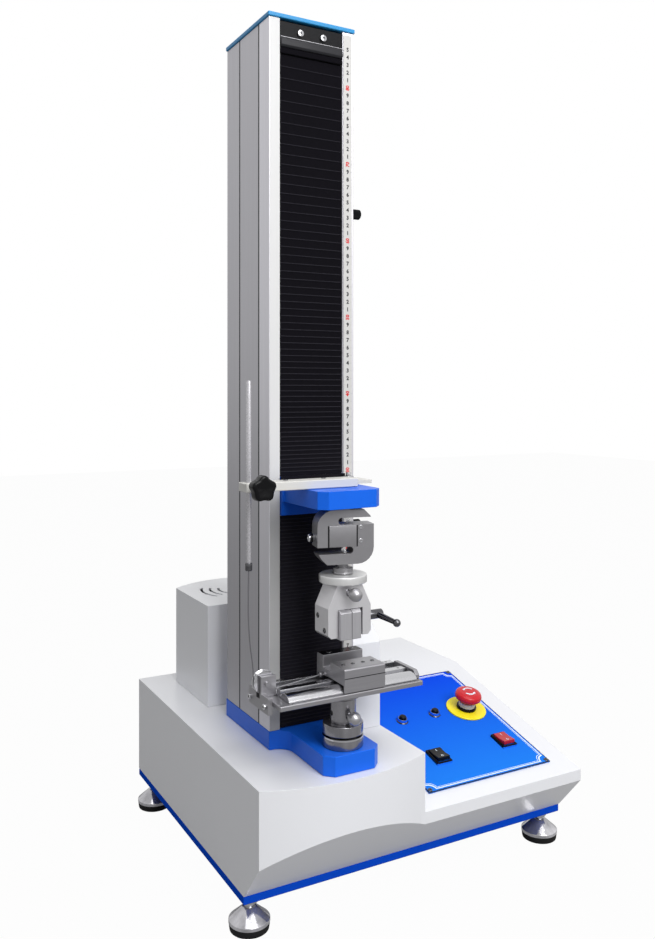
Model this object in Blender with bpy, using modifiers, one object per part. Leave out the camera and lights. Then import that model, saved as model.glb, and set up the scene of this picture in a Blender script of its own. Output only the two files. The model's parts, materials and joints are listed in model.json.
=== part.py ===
"""Single-column tensile tester with a 90 degree peel fixture.

Metres, +Z up. The origin is on the floor under the middle of the machine, and the front faces -Y.
"""

import math

import bmesh
import bpy
from mathutils import Matrix, Vector

GAP = 0.0003  # clearance between two pieces that touch

# Base: feet, base plate and painted housing
FOOT_HEIGHT = 0.0413
FOOT_RADIUS = 0.0250
FOOT_EDGE = 0.0015
FOOT_RIM_TOP = 0.0115
FOOT_WAIST_RADIUS = 0.0120
FOOT_WAIST_Z = 0.0190
FOOT_NECK_RADIUS = 0.0085
FOOT_CONE_TOP = 0.0255
FOOT_STUD_RADIUS = 0.0050
FOOT_NUT_RADIUS = 0.0100
FOOT_NUT_THICK = 0.0060
FOOT_SIDE_INSET = 0.0170
FOOT_EDGE_INSET = 0.0220
FOOT_REAR_INSET = 0.0255
BASE_WIDTH = 0.4884
BASE_DEPTH = 0.4512
BOW = 0.0242
BASE_PLATE_THICK = 0.0103
BASE_TOP = 0.1910
HOUSING_WALL = 0.0050
UNDERCUT_DEPTH = 0.0429
UNDERCUT_RISE = 0.0502
BLOCK_WIDTH = 0.2266
LIP_HEIGHT = 0.0653
SLOPE_RUN = 0.2844

BACK = (BASE_DEPTH + BOW) / 2
FRONT = BACK - BASE_DEPTH
LEFT = -BASE_WIDTH / 2
RIGHT = BASE_WIDTH / 2
BLOCK_RIGHT = LEFT + BLOCK_WIDTH
PLATE_TOP = FOOT_HEIGHT + BASE_PLATE_THICK
HOUSING_BOTTOM = PLATE_TOP + GAP
LIP_TOP = PLATE_TOP + LIP_HEIGHT
SLOPE_ANGLE = math.atan2(BASE_TOP - LIP_TOP, SLOPE_RUN)

# Motor cover: a shell behind the column with an arm beside it
COVER_WALL = 0.0030
COVER_HEIGHT = 0.1438
COVER_LEFT = -0.1966
COVER_FRONT = 0.0660
COVER_SIDE_BACK = 0.2002
COVER_BOW = 0.0340
ARM_COVER_LEFT = -0.0605
ARM_COVER_FRONT = -0.1100
ARM_COVER_CHAMFER = 0.0308
COVER_RIGHT = BLOCK_RIGHT - 0.0012
COVER_BOTTOM = BASE_TOP + GAP
COVER_TOP = COVER_BOTTOM + COVER_HEIGHT
VENT_RADII = (0.038, 0.051, 0.064)
VENT_WIDTH = 0.0040
VENT_HALF_ANGLE = math.radians(30)

# Column
COLUMN_X = -0.1243
COLUMN_WIDTH = 0.1223
COLUMN_FRONT = -0.1150
COLUMN_BACK = 0.0212
COLUMN_TOP = 1.1100
COLUMN_WALL = 0.0080
LEFT_STRIP = 0.0150
RIGHT_STRIP = 0.0165
GROOVE_WIDTH = 0.0032
GROOVE_DEPTH = 0.0030
GROOVE_YS = (-0.0831, -0.0218)
CAP_THICK = 0.0057
CAP_OVERHANG = 0.0015
COLUMN_BASE_THICK = 0.0236
COLUMN_BASE_BACK = 0.0037
TONGUE_WIDTH = 0.0755
TONGUE_FRONT = -0.2233
TONGUE_CHAMFER = 0.0110
SHOULDER_RADIUS = 0.0200

COLUMN_LEFT = COLUMN_X - COLUMN_WIDTH / 2
COLUMN_RIGHT = COLUMN_X + COLUMN_WIDTH / 2
OPENING_LEFT = COLUMN_LEFT + LEFT_STRIP
OPENING_RIGHT = COLUMN_RIGHT - RIGHT_STRIP
COLUMN_BASE_BOTTOM = BASE_TOP + GAP
COLUMN_BASE_TOP = COLUMN_BASE_BOTTOM + COLUMN_BASE_THICK
COLUMN_BOTTOM = COLUMN_BASE_TOP + GAP
STRIP_BACK = COLUMN_FRONT + COLUMN_WALL

# Drive: ball screw, guide rods, belt and motor
SCREW_Y = -0.0450
SCREW_RADIUS = 0.0080
ROD_RADIUS = 0.0060
ROD_OFFSET = 0.0360
BORE_CLEARANCE = 0.0004
BEARING_WIDTH = 0.0960
BEARING_DEPTH = 0.0500
BEARING_THICK = 0.0240
BEARING_DROP = 0.0060
SCREW_END = 0.0020
MOTOR_X = -0.1060
MOTOR_Y = 0.1496
MOTOR_FLANGE = 0.0900
MOTOR_FLANGE_THICK = 0.0080
MOTOR_RADIUS = 0.0350
MOTOR_HEIGHT = 0.1000
SHAFT_RADIUS = 0.0060
PULLEY_BOTTOM = 0.1000
BELT_PULLEY_THICK = 0.0180
SCREW_PULLEY_RADIUS = 0.0300
MOTOR_PULLEY_RADIUS = 0.0150
BELT_THICK = 0.0020
SHAFT_HOLE_RADIUS = 0.0140

# Bellows and their clamp
BELLOWS_FRONT = -0.1145
BELLOWS_DEPTH = 0.0095
BELLOWS_SHEET = 0.0012
UPPER_FOLDS = 30
LOWER_FOLDS = 28
CLAMP_DROP = 0.0020  # under the column's top
CLAMP_HEIGHT = 0.0410
CLAMP_BOTTOM = COLUMN_TOP - CLAMP_DROP - CLAMP_HEIGHT
CLAMP_THICK = 0.0110
CLAMP_EDGE = 0.0012
RULE_WIDTH = 0.0120
RULE_THICK = 0.0008
RULE_INSET = 0.0010
RULE_DROP = 0.0040

# Crosshead at rest
ARM_TOP = 0.5230
ARM_THICK = 0.0215
ARM_FRONT = -0.2180
ARM_WIDTH = 0.0850
ARM_CHAMFER = 0.0100
ARM_SHOULDER_RADIUS = 0.0015
FLANGE_DROP = 0.0387
FLANGE_RISE = 0.0093
FLANGE_BOTTOM = ARM_TOP - FLANGE_DROP
FLANGE_TOP = ARM_TOP + FLANGE_RISE
FLANGE_THICK = 0.0100
FLANGE_PROUD = 0.0040  # in front of the column's face
FLANGE_LAP = 0.0020
CARRIAGE_SETBACK = 0.0100
CARRIAGE_EDGE = 0.0015
NECK_MARGIN = 0.0050
CARRIAGE_DEPTH = 0.1000
CARRIAGE_WIDTH = 0.1000
CARRIAGE_HEIGHT = 0.0800
BAR_LEFT = -0.2462
BAR_RIGHT = -0.0972
BAR_FRONT = -0.1840
BAR_BACK = -0.1600
BAR_THICK = 0.0105
BAR_EDGE = 0.0008
FINGER_LEFT = -0.1300
FINGER_RIGHT = -0.0632
FINGER_LAP = 0.0010
FINGER_THICK = 0.0043
FINGER_INSET = 0.0005
POINTER_WIDTH = 0.0090
POINTER_LENGTH = 0.0180
POINTER_LAP = 0.0060
POINTER_THICK = 0.0035
POINTER_CLEAR = 0.0020
PULL_ROD_X = -0.2385
PULL_ROD_Y = -0.1720
PULL_ROD_RADIUS = 0.0030
PULL_ROD_TOP = 0.6525
PULL_ROD_BOTTOM = 0.4321
FERRULE_RADIUS = 0.0042
FERRULE_LENGTH = 0.0085
FERRULE_LIP = 0.0010  # the ferrule reaches this far below the rod's end
KNOB_RADIUS = 0.0153
KNOB_LOBE = 0.0020
KNOB_THICK = 0.0150
KNOB_NECK = 0.0195
KNOB_EDGE = 0.0015
KNOB_LOBES = 5
KNOB_HUB_RADIUS = 0.0065
KNOB_HUB_TIP_RADIUS = 0.0050
KNOB_SINK = 0.0010

# Load train on the load axis
LOAD_Y = -0.1936
CELL_WIDTH = 0.0703
CELL_HEIGHT = 0.0650
CELL_THICK = 0.0250
CELL_STUD_GAP = 0.0023
CELL_STUD_LENGTH = 0.0126
CELL_STUD_RADIUS = 0.0065
CELL_NUT_RADIUS = 0.0120
CELL_NUT_THICK = 0.0060
CELL_SLOT = 0.0082
CELL_ROUND = 0.0200
CELL_CUT = 0.0121
CELL_CHAMFER = 0.0078
CELL_STEP = 0.0160
CELL_SLOT_DEPTHS = (0.0135, 0.0167)  # of the upper slot's middle under the top, of the lower over the bottom
CELL_SLOT_REACH = 0.0050  # of a slot's inner end past the middle
CELL_TURN = math.radians(-13)  # about the load axis, as it is screwed in
CELL_SLOT_END_RADIUS = 0.0043
CELL_NUT_LIFT = 0.0010
CELL_SOCKET_RADIUS = 0.0045
CELL_SOCKET_LENGTH = 0.0100
CELL_SOCKET_PROUD = 0.0080
SINK = 0.0020  # of a stud into what carries it
LOCK_RING_RADIUS = 0.0290
LOCK_RING_THICK = 0.0100
NECK_RADIUS = 0.0100
GRIP_HEIGHT = 0.0625
GRIP_TOP_WIDTH = 0.0330
GRIP_WIDTH = 0.0586
GRIP_DEPTH = 0.0330
GRIP_SHOULDER = 0.0270
PIN_RADIUS = 0.0040
PIN_BALL_RADIUS = 0.0075
PIN_REACH = 0.0300
PIN_DROP = 0.0104
JAW_WINDOW_HEIGHT = 0.0330
FIXED_JAW_WIDTH = 0.0158
MOVING_JAW_WIDTH = 0.0126
JAW_TRAVEL = 0.0045
JAW_PROUD = 0.0060
JAW_DROP = 0.0020
LEVER_HEIGHT = 0.0179
LEVER_SCREW_RADIUS = 0.0040
LEVER_HUB_RADIUS = 0.0058
LEVER_HUB_LENGTH = 0.0210
LEVER_ARM = 0.0360
LEVER_ARM_ROOT_RADIUS = 0.0042
LEVER_ARM_TIP_RADIUS = 0.0030
LEVER_BALL_RADIUS = 0.0048
LEVER_ARM_INSET = 0.0075  # of the arm's root from the hub's outer end
LEVER_CLEAR = 0.0050  # between the grip's cheek and the hub
LEVER_EDGE = 0.0010
LEVER_SPREAD = 0.0060
LEVER_DROOP = 0.0040
RING_EDGE = 0.0012
GRIP_CHAMFER = 0.0040
JAW_EDGE = 0.0006
JAW_CHAMFER = 0.0030

# Lower adapter and peel fixture
SOCKET_RADIUS = 0.0245
SOCKET_RING_THICK = 0.0130
LOWER_RING_GAP = 0.0024
LOWER_RING_THICK = 0.0129
SPIGOT_RADIUS = 0.0095
COLLAR_RADIUS = 0.0150
STEM_RADIUS = 0.0158
STEM_FLANGE_RADIUS = 0.0210
STEM_FLANGE_THICK = 0.0060
STEM_FLARE = 0.0030
STEM_ROOM = 0.0040  # of solid stem over the spigot
ADAPTER_EDGE = 0.0010
LOWER_PIN_LIFT = 0.0100
LOWER_PIN_REACH = 0.0270
LOWER_PIN_BACK = 0.0020
SIDE_HOLE_RADIUS = 0.0032
SIDE_HOLE_LIFT = 0.0015
FIXTURE_BOTTOM = 0.2808
FIXTURE_LEFT = -0.2244
FIXTURE_RIGHT = -0.0308
FIXTURE_FRONT = -0.2277
FIXTURE_BACK = -0.1540
FIXTURE_THICK = 0.0060
RAIL_FLOOR = 0.0015
RAIL_DOME = 0.0080
RAIL_STRIP = 0.0086
RAIL_FRONT = -0.2235
DOME_BACK = -0.2000
FRONT_STRIP_BACK = -0.1900
REAR_STRIP_FRONT = -0.1720
REAR_STRIP_BACK = -0.1620
END_PLATE_THICK = 0.0057
END_PLATE_HEIGHT = 0.0100
END_PLATE_FRONT = FIXTURE_FRONT + 0.0080
END_PLATE_BACK = FIXTURE_BACK - 0.0130
PLATE_EDGE = 0.0008
SLIDER_EDGE = 0.0015
SLIDER_LEFT = -0.1408
SLIDER_LENGTH = 0.0561
SLIDER_FRONT = -0.2266
SLIDER_BACK = -0.1575
SLIDER_FRONT_TOP = 0.3157
SLIDER_REAR_TOP = 0.3195
SLIDER_CHANNEL_TOP = 0.3050
SLIDER_CHANNEL_FRONT = -0.1925
SLIDER_CHANNEL_BACK = -0.1740
SLIDER_SKIRT = 0.0026
ANCHOR_LENGTH = 0.0080
ANCHOR_RADIUS = 0.0022
ANCHOR_Z = 0.2985
WIRE_PULLEY_X = -0.2235
WIRE_PULLEY_Y = -0.1800
WIRE_PULLEY_Z = 0.3020
WIRE_PULLEY_RADIUS = 0.0132
WIRE_PULLEY_WIDTH = 0.0080
WIRE_GROOVE_RADIUS = 0.0112
WIRE_GROOVE_WIDTH = 0.0030
WIRE_AXLE_RADIUS = 0.0030
FORK_THICK = 0.0057
FORK_CHEEK = 0.0050
FORK_TOP = 0.3105
FORK_BOTTOM = 0.2720
FORK_REACH = 0.0120
FORK_FRONT = -0.2080
FORK_BACK = -0.1540
WIRE_RADIUS = 0.00075

# Limit stops on the right side of the column
STOP_RADIUS = 0.0068
STOP_BLOCK = 0.0160
STOP_BLOCK_THICK = 0.0070
STOP_KNOB_LENGTH = 0.0225
UPPER_STOP_Z = 0.8805
LOWER_STOP_Z = 0.4600

# Control panel and what is on it, placed by plan position on the slope
PANEL_LEFT = 0.0066
PANEL_RIGHT = 0.2112
PANEL_FRONT = -0.1876
PANEL_BACK = 0.0471
PANEL_THICK = 0.0020
PANEL_NOTCH = 0.0100
BUTTON_SPOTS = {"start_button": (0.0591, -0.0464), "stop_button": (0.1162, -0.0464)}
BUTTON_RADIUS = 0.0050
BUTTON_HEIGHT = 0.0060
BUTTON_LIFT = 0.0028
BEZEL_RADIUS = 0.0078
BEZEL_HEIGHT = 0.0050
ESTOP_SPOT = (0.1718, -0.0495)
ESTOP_COLLAR_RADIUS = 0.0300
ESTOP_COLLAR_THICK = 0.0025
ESTOP_NECK_RADIUS = 0.0125
ESTOP_NECK_HEIGHT = 0.0110
ESTOP_STEM_RADIUS = 0.0060
ESTOP_CAP_RADIUS = 0.0200
ESTOP_CAP_THICK = 0.0125
ESTOP_TRAVEL = 0.0040
ESTOP_DOME = 0.0085
ESTOP_DOME_STEPS = 5
ESTOP_EDGE = 0.0009
ROCKER_SPOTS = {"power_rocker": (0.0616, -0.1320), "light_rocker": (0.1760, -0.1309)}
ROCKER_BEZEL = (0.0250, 0.0310)
ROCKER_BEZEL_HEIGHT = 0.0030
ROCKER_WIDTH = 0.0190
ROCKER_HALF_LENGTH = 0.0122
ROCKER_THICK = 0.0040
ROCKER_TILT = math.radians(8)
ROCKER_PIVOT = 0.0030

# Mains inlet in the back wall
INLET_X = 0.1500
INLET_Z = 0.0950
INLET_WIDTH = 0.0480
INLET_HEIGHT = 0.0280
INLET_DEPTH = 0.0200
INLET_SOCKET = (0.0240, 0.0160, 0.0120)

# Name: (red, green, blue), roughness, metallic
FINISHES = {
    "white_paint": ((0.78, 0.79, 0.80), 0.38, 0.0),
    "base_blue": ((0.02, 0.05, 0.42), 0.40, 0.0),
    "arm_blue": ((0.03, 0.16, 0.62), 0.35, 0.2),
    "panel_blue": ((0.02, 0.12, 0.72), 0.40, 0.0),
    "aluminium": ((0.52, 0.52, 0.55), 0.38, 0.9),
    "bright_metal": ((0.75, 0.75, 0.77), 0.22, 1.0),
    "steel": ((0.45, 0.45, 0.47), 0.30, 1.0),
    "black_cloth": ((0.012, 0.012, 0.014), 0.70, 0.0),
    "black_plastic": ((0.02, 0.02, 0.022), 0.45, 0.0),
    "red_plastic": ((0.60, 0.02, 0.03), 0.30, 0.0),
    "yellow_plastic": ((0.80, 0.68, 0.02), 0.40, 0.0),
    "rubber": ((0.02, 0.02, 0.02), 0.85, 0.0),
    "rule_white": ((0.82, 0.82, 0.80), 0.45, 0.0),
    "motor_black": ((0.03, 0.03, 0.035), 0.50, 0.3),
}

TURN_TO_X = (0, math.pi / 2, 0)
TURN_TO_FRONT = (math.pi / 2, 0, 0)
TURN_TO_BACK = (-math.pi / 2, 0, 0)


def clear_scene():
    for old in list(bpy.data.objects):
        bpy.data.objects.remove(old, do_unlink=True)


def make_collection(name):
    made = bpy.data.collections.new(name)
    bpy.context.scene.collection.children.link(made)
    return made


def material(finish):
    if finish in bpy.data.materials:
        return bpy.data.materials[finish]
    colour, roughness, metallic = FINISHES[finish]
    made = bpy.data.materials.new(finish)
    made.use_nodes = True
    shader = made.node_tree.nodes["Principled BSDF"]
    shader.inputs["Base Color"].default_value = (*colour, 1)
    shader.inputs["Roughness"].default_value = roughness
    shader.inputs["Metallic"].default_value = metallic
    made.diffuse_color = (*colour, 1)
    return made


def link(name, mesh, finish):
    """A part when it has a finish, otherwise a cutter or a shape to join on."""
    made = bpy.data.objects.new(name, mesh)
    if finish:
        PARTS.objects.link(made)
        mesh.materials.append(material(finish))
    else:
        CUTTERS.objects.link(made)
        made.hide_render = True
        made.display_type = "WIRE"
    return made


def mesh_from(shape, name):
    mesh = bpy.data.meshes.new(name)
    shape.to_mesh(mesh)
    shape.free()
    return mesh


def smooth(made, angle=35):
    made.data.shade_smooth()
    made.data.set_sharp_from_angle(angle=math.radians(angle))
    return made


def bevel(made, width, segments=1):
    modifier = made.modifiers.new("Edges", "BEVEL")
    modifier.width = width
    modifier.segments = segments
    modifier.limit_method = "ANGLE"
    modifier.angle_limit = math.radians(40)
    return made


def box(name, low, high, finish=None, edge=0.0):
    """A box between two corners, with its origin at its middle."""
    low, high = Vector(low), Vector(high)
    shape = bmesh.new()
    bmesh.ops.create_cube(shape, size=1)
    bmesh.ops.scale(shape, vec=high - low, verts=shape.verts)
    made = link(name, mesh_from(shape, name), finish)
    made.location = (low + high) / 2
    return bevel(made, edge) if edge else made


def cylinder(name, radius, length, centre, finish=None, turn=(0, 0, 0), sides=24, top=None):
    """A cylinder, or a cone with another top radius, along its own Z about its middle."""
    shape = bmesh.new()
    bmesh.ops.create_cone(
        shape,
        cap_ends=True,
        segments=sides,
        radius1=radius,
        radius2=radius if top is None else top,
        depth=length,
    )
    made = link(name, mesh_from(shape, name), finish)
    made.location = centre
    made.rotation_euler = turn
    return smooth(made)


def ball(name, radius, centre, finish=None, sides=14):
    shape = bmesh.new()
    bmesh.ops.create_uvsphere(shape, u_segments=sides, v_segments=sides // 2, radius=radius)
    made = link(name, mesh_from(shape, name), finish)
    made.location = centre
    return smooth(made)


def turned(name, profile, centre, finish=None, turn=(0, 0, 0), sides=28, ring=False):
    """A turned piece: (radius, height) points that run down the outside, about its own Z."""
    mesh = bpy.data.meshes.new(name)
    edges = [(i, i + 1) for i in range(len(profile) - 1)]
    if ring:
        edges.append((len(profile) - 1, 0))
    mesh.from_pydata([(radius, 0, height) for radius, height in profile], edges, [])
    made = link(name, mesh, finish)
    screw = made.modifiers.new("Turn", "SCREW")
    screw.steps = screw.render_steps = sides
    screw.use_merge_vertices = True
    screw.merge_threshold = 0.00001
    screw.use_smooth_shade = False
    made.location = centre
    made.rotation_euler = turn
    return made


def ring_profile(outer, inner, bottom, top):
    return [(outer, top), (outer, bottom), (inner, bottom), (inner, top)]


def rod_profile(radius, bottom, top):
    return [(0, top), (radius, top), (radius, bottom), (0, bottom)]


def prism(name, outlines, depth, matrix, finish=None):
    """Flat outlines filled and given a depth along their own +Z, made a mesh and put in place."""
    curve = bpy.data.curves.new(name, "CURVE")
    curve.dimensions = "2D"
    curve.fill_mode = "BOTH"
    curve.extrude = depth / 2
    for outline in outlines:
        spline = curve.splines.new("POLY")
        spline.points.add(len(outline) - 1)
        for point, (u, v) in zip(spline.points, outline):
            point.co = (u, v, 0, 1)
        spline.use_cyclic_u = True
    holder = bpy.data.objects.new(name + "_outline", curve)
    CUTTERS.objects.link(holder)
    bpy.context.view_layer.update()
    mesh = bpy.data.meshes.new_from_object(holder.evaluated_get(bpy.context.evaluated_depsgraph_get()))
    bpy.data.objects.remove(holder)
    bpy.data.curves.remove(curve)
    shape = bmesh.new()
    shape.from_mesh(mesh)
    bmesh.ops.remove_doubles(shape, verts=shape.verts, dist=0.00001)
    bmesh.ops.translate(shape, vec=(0, 0, depth / 2), verts=shape.verts)
    bmesh.ops.recalc_face_normals(shape, faces=shape.faces)
    shape.to_mesh(mesh)
    shape.free()
    mesh.materials.clear()
    made = link(name, mesh, finish)
    made.matrix_world = matrix
    return made


def upright(x=0.0, y=0.0, z=0.0):
    """Outline in X and Y, depth along +Z."""
    return Matrix.Translation((x, y, z))


def along_x(x, y=0.0, z=0.0):
    """Outline in Y and Z, depth along +X."""
    return Matrix.Translation((x, y, z)) @ Matrix(((0, 0, 1, 0), (1, 0, 0, 0), (0, 1, 0, 0), (0, 0, 0, 1)))


def along_y(y, x=0.0, z=0.0):
    """Outline in X and Z, depth along -Y, from y forwards."""
    return Matrix.Translation((x, y, z)) @ Matrix.Rotation(math.pi / 2, 4, "X")


def boolean(made, other, operation):
    modifier = made.modifiers.new(operation.title(), "BOOLEAN")
    modifier.operation = operation
    modifier.object = other
    return made


def cut(made, *others):
    for other in others:
        boolean(made, other, "DIFFERENCE")
    return made


def join(made, *others):
    for other in others:
        boolean(made, other, "UNION")
    return made


def arc(centre, radius, start, end, count):
    """Points on an arc, angles in radians from +u towards +v."""
    return [
        (
            centre[0] + radius * math.cos(start + (end - start) * i / count),
            centre[1] + radius * math.sin(start + (end - start) * i / count),
        )
        for i in range(count + 1)
    ]


def bow_arc(start, end, rise, count=16):
    """Points from start to end on a shallow arc that stands out by rise to the right of the way."""
    start, end = Vector(start), Vector(end)
    half = (end - start).length / 2
    radius = (half * half + rise * rise) / (2 * rise)
    way = (end - start).normalized()
    side = Vector((way.y, -way.x))
    centre = (start + end) / 2 - side * (radius - rise)
    swing = math.asin(half / radius)
    return [
        tuple(centre + radius * (side * math.cos(turn) + way * math.sin(turn)))
        for turn in (swing * (2 * i / count - 1) for i in range(count + 1))
    ]


def smooth_route(points, steps):
    """Points on a Catmull-Rom curve through the route's own points."""
    ends = [2 * points[0] - points[1], *points, 2 * points[-1] - points[-2]]
    route = []
    for a, b, c, d in zip(ends, ends[1:], ends[2:], ends[3:]):
        for i in range(steps):
            t = i / steps
            square = (2 * a - 5 * b + 4 * c - d) * t**2
            cube = (3 * b - a - 3 * c + d) * t**3
            route.append((2 * b + (c - a) * t + square + cube) / 2)
    return [*route, points[-1]]


def wire(name, points, finish):
    curve = bpy.data.curves.new(name, "CURVE")
    curve.dimensions = "3D"
    curve.bevel_depth = WIRE_RADIUS
    curve.bevel_resolution = 2
    curve.use_fill_caps = True
    spline = curve.splines.new("POLY")
    spline.points.add(len(points) - 1)
    for spot, point in zip(spline.points, points):
        spot.co = (*point, 1)
    made = bpy.data.objects.new(name, curve)
    curve.materials.append(material(finish))
    PARTS.objects.link(made)
    return made


def undercut_y(z):
    """Where the undercut plane of the housing's front stands at a height."""
    return FRONT + UNDERCUT_DEPTH - (z - PLATE_TOP) * UNDERCUT_DEPTH / UNDERCUT_RISE


def slope_z(y):
    """Height of the console's slope."""
    return LIP_TOP + (y - FRONT) * math.tan(SLOPE_ANGLE)


def panel_matrix(spot, height=0.0):
    """A frame on top of the control panel: +Z is the panel's normal and +Y points up the slope."""
    x, y = spot
    lift = GAP + PANEL_THICK + height
    turn = Matrix.Rotation(SLOPE_ANGLE, 4, "X")
    return Matrix.Translation((x, y, slope_z(y))) @ turn @ Matrix.Translation((0, 0, lift))


def build_feet():
    front_y = FRONT + UNDERCUT_DEPTH + FOOT_EDGE_INSET
    rear_y = BACK - FOOT_REAR_INSET
    side = RIGHT - FOOT_SIDE_INSET
    top = FOOT_HEIGHT - GAP
    profile = [
        (0, top),
        (FOOT_NUT_RADIUS, top),
        (FOOT_NUT_RADIUS, top - FOOT_NUT_THICK),
        (FOOT_STUD_RADIUS, top - FOOT_NUT_THICK),
        (FOOT_STUD_RADIUS, FOOT_CONE_TOP),
        (FOOT_NECK_RADIUS, FOOT_CONE_TOP - FOOT_EDGE),
        (FOOT_WAIST_RADIUS, FOOT_WAIST_Z),
        (FOOT_RADIUS - FOOT_EDGE, FOOT_RIM_TOP),
        (FOOT_RADIUS, FOOT_RIM_TOP - FOOT_EDGE),
        (FOOT_RADIUS, FOOT_EDGE),
        (FOOT_RADIUS - FOOT_EDGE, 0),
        (0, 0),
    ]
    for end, y in (("front", front_y), ("rear", rear_y)):
        for hand, x in (("left", -side), ("right", side)):
            turned(f"foot_{end}_{hand}", profile, (x, y, 0), "bright_metal", sides=20)


def build_base():
    box(
        "base_plate",
        (LEFT, FRONT + UNDERCUT_DEPTH, FOOT_HEIGHT),
        (RIGHT, BACK, PLATE_TOP),
        "base_blue",
        edge=0.0010,
    )
    plan = [
        *bow_arc((LEFT, FRONT), (BLOCK_RIGHT, FRONT), BOW),
        (RIGHT, FRONT),
        (RIGHT, BACK),
        (LEFT, BACK),
    ]
    height = BASE_TOP - HOUSING_BOTTOM
    housing = prism("base_housing", [plan], height, upright(z=HOUSING_BOTTOM), "white_paint")
    past = 0.06
    low = FOOT_HEIGHT - past
    top = BASE_TOP + past
    under = [
        (undercut_y(low), low),
        (FRONT - past, low),
        (FRONT - past, PLATE_TOP + (UNDERCUT_DEPTH + past) * UNDERCUT_RISE / UNDERCUT_DEPTH),
    ]
    slope = [
        (FRONT - past, slope_z(FRONT - past)),
        (FRONT + SLOPE_RUN, BASE_TOP),
        (FRONT + SLOPE_RUN, top),
        (FRONT - past, top),
    ]
    wall = HOUSING_WALL
    lean = math.atan2(UNDERCUT_DEPTH, UNDERCUT_RISE)
    shift = wall / math.cos(lean)
    corner_z = PLATE_TOP + UNDERCUT_RISE
    inner_front = FRONT + wall
    knee_z = PLATE_TOP + (UNDERCUT_DEPTH + shift - wall) * UNDERCUT_RISE / UNDERCUT_DEPTH
    block_room = [
        (undercut_y(low) + shift, low),
        (inner_front, min(knee_z, corner_z + shift)),
        (inner_front, BASE_TOP - wall),
        (BACK - wall, BASE_TOP - wall),
        (BACK - wall, low),
    ]
    console_room = [
        (undercut_y(low) + shift, low),
        (undercut_y(slope_z(inner_front) - 2 * wall) + shift, slope_z(inner_front) - 2 * wall),
        (inner_front + wall, slope_z(inner_front + wall) - wall),
        (FRONT + SLOPE_RUN, BASE_TOP - wall),
        (BACK - wall, BASE_TOP - wall),
        (BACK - wall, low),
    ]
    inside = BLOCK_RIGHT - wall
    cut(
        housing,
        prism("undercut", [under], BASE_WIDTH + 2 * past, along_x(LEFT - past)),
        prism("slope", [slope], RIGHT - BLOCK_RIGHT + past, along_x(BLOCK_RIGHT)),
        prism("block_room", [block_room], inside - LEFT - wall, along_x(LEFT + wall)),
        prism("console_room", [console_room], RIGHT - wall - inside + GAP, along_x(inside - GAP)),
        cylinder("screw_hole", SHAFT_HOLE_RADIUS, 3 * wall, (COLUMN_X, SCREW_Y, BASE_TOP - wall / 2)),
        cylinder("motor_hole", SHAFT_HOLE_RADIUS, 3 * wall, (MOTOR_X, MOTOR_Y, BASE_TOP - wall / 2)),
        box(
            "inlet_window",
            (INLET_X - INLET_WIDTH / 2 - GAP, BACK - 2 * wall, INLET_Z - INLET_HEIGHT / 2 - GAP),
            (INLET_X + INLET_WIDTH / 2 + GAP, BACK + wall, INLET_Z + INLET_HEIGHT / 2 + GAP),
        ),
    )


def build_inlet():
    width, height, depth = INLET_SOCKET
    inlet = box(
        "power_inlet",
        (INLET_X - INLET_WIDTH / 2, BACK - INLET_DEPTH, INLET_Z - INLET_HEIGHT / 2),
        (INLET_X + INLET_WIDTH / 2, BACK - GAP, INLET_Z + INLET_HEIGHT / 2),
        "black_plastic",
    )
    socket = box(
        "inlet_socket",
        (INLET_X - width / 2, BACK - GAP - depth, INLET_Z - height / 2),
        (INLET_X + width / 2, BACK + depth, INLET_Z + height / 2),
    )
    cut(inlet, socket)


def cover_plan(inset):
    """Plan of the motor cover, taken in by its wall for the inside."""
    bulge = bow_arc(
        (COVER_RIGHT - inset, COVER_SIDE_BACK - inset),
        (COVER_LEFT + inset, COVER_SIDE_BACK - inset),
        COVER_BOW,
    )
    return [
        (COVER_LEFT + inset, COVER_FRONT + inset),
        (ARM_COVER_LEFT + inset, COVER_FRONT + inset),
        (ARM_COVER_LEFT + inset, ARM_COVER_FRONT + inset),
        (COVER_RIGHT - inset, ARM_COVER_FRONT + inset),
        *bulge,
    ]


def build_motor_cover():
    cover = prism("motor_cover", [cover_plan(0)], COVER_HEIGHT, upright(z=COVER_BOTTOM), "white_paint")
    past = 0.02
    room_height = COVER_HEIGHT - COVER_WALL + past
    room = prism("cover_room", [cover_plan(COVER_WALL)], room_height, upright(z=COVER_BOTTOM - past))
    inner = COVER_WALL / math.cos(math.pi / 4)

    def chamfer_outline(shift):
        start = ARM_COVER_FRONT - past + shift
        edge = COVER_TOP - ARM_COVER_CHAMFER - past
        rise = ARM_COVER_CHAMFER + 2 * past
        return [(start, edge), (start + rise, edge + rise), (start, edge + rise)]

    across = COVER_RIGHT - ARM_COVER_LEFT + 2 * past
    chamfer = prism("arm_chamfer", [chamfer_outline(0)], across, along_x(ARM_COVER_LEFT - past))
    keep_wall = prism("arm_wall", [chamfer_outline(inner)], across, along_x(ARM_COVER_LEFT - past))
    cut(room, keep_wall)
    cut(cover, chamfer, room)
    for radius in VENT_RADII:
        for hand, middle in (("left", math.pi), ("right", 0.0)):
            outer = arc(
                (0, 0), radius + VENT_WIDTH / 2, middle - VENT_HALF_ANGLE, middle + VENT_HALF_ANGLE, 7
            )
            inner_edge = arc(
                (0, 0), radius - VENT_WIDTH / 2, middle + VENT_HALF_ANGLE, middle - VENT_HALF_ANGLE, 7
            )
            name = f"vent_{hand}_{radius:.3f}"
            place = upright(MOTOR_X, MOTOR_Y, COVER_TOP - 2 * COVER_WALL)
            cut(cover, prism(name, [outer + inner_edge], 4 * COVER_WALL, place))


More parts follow.
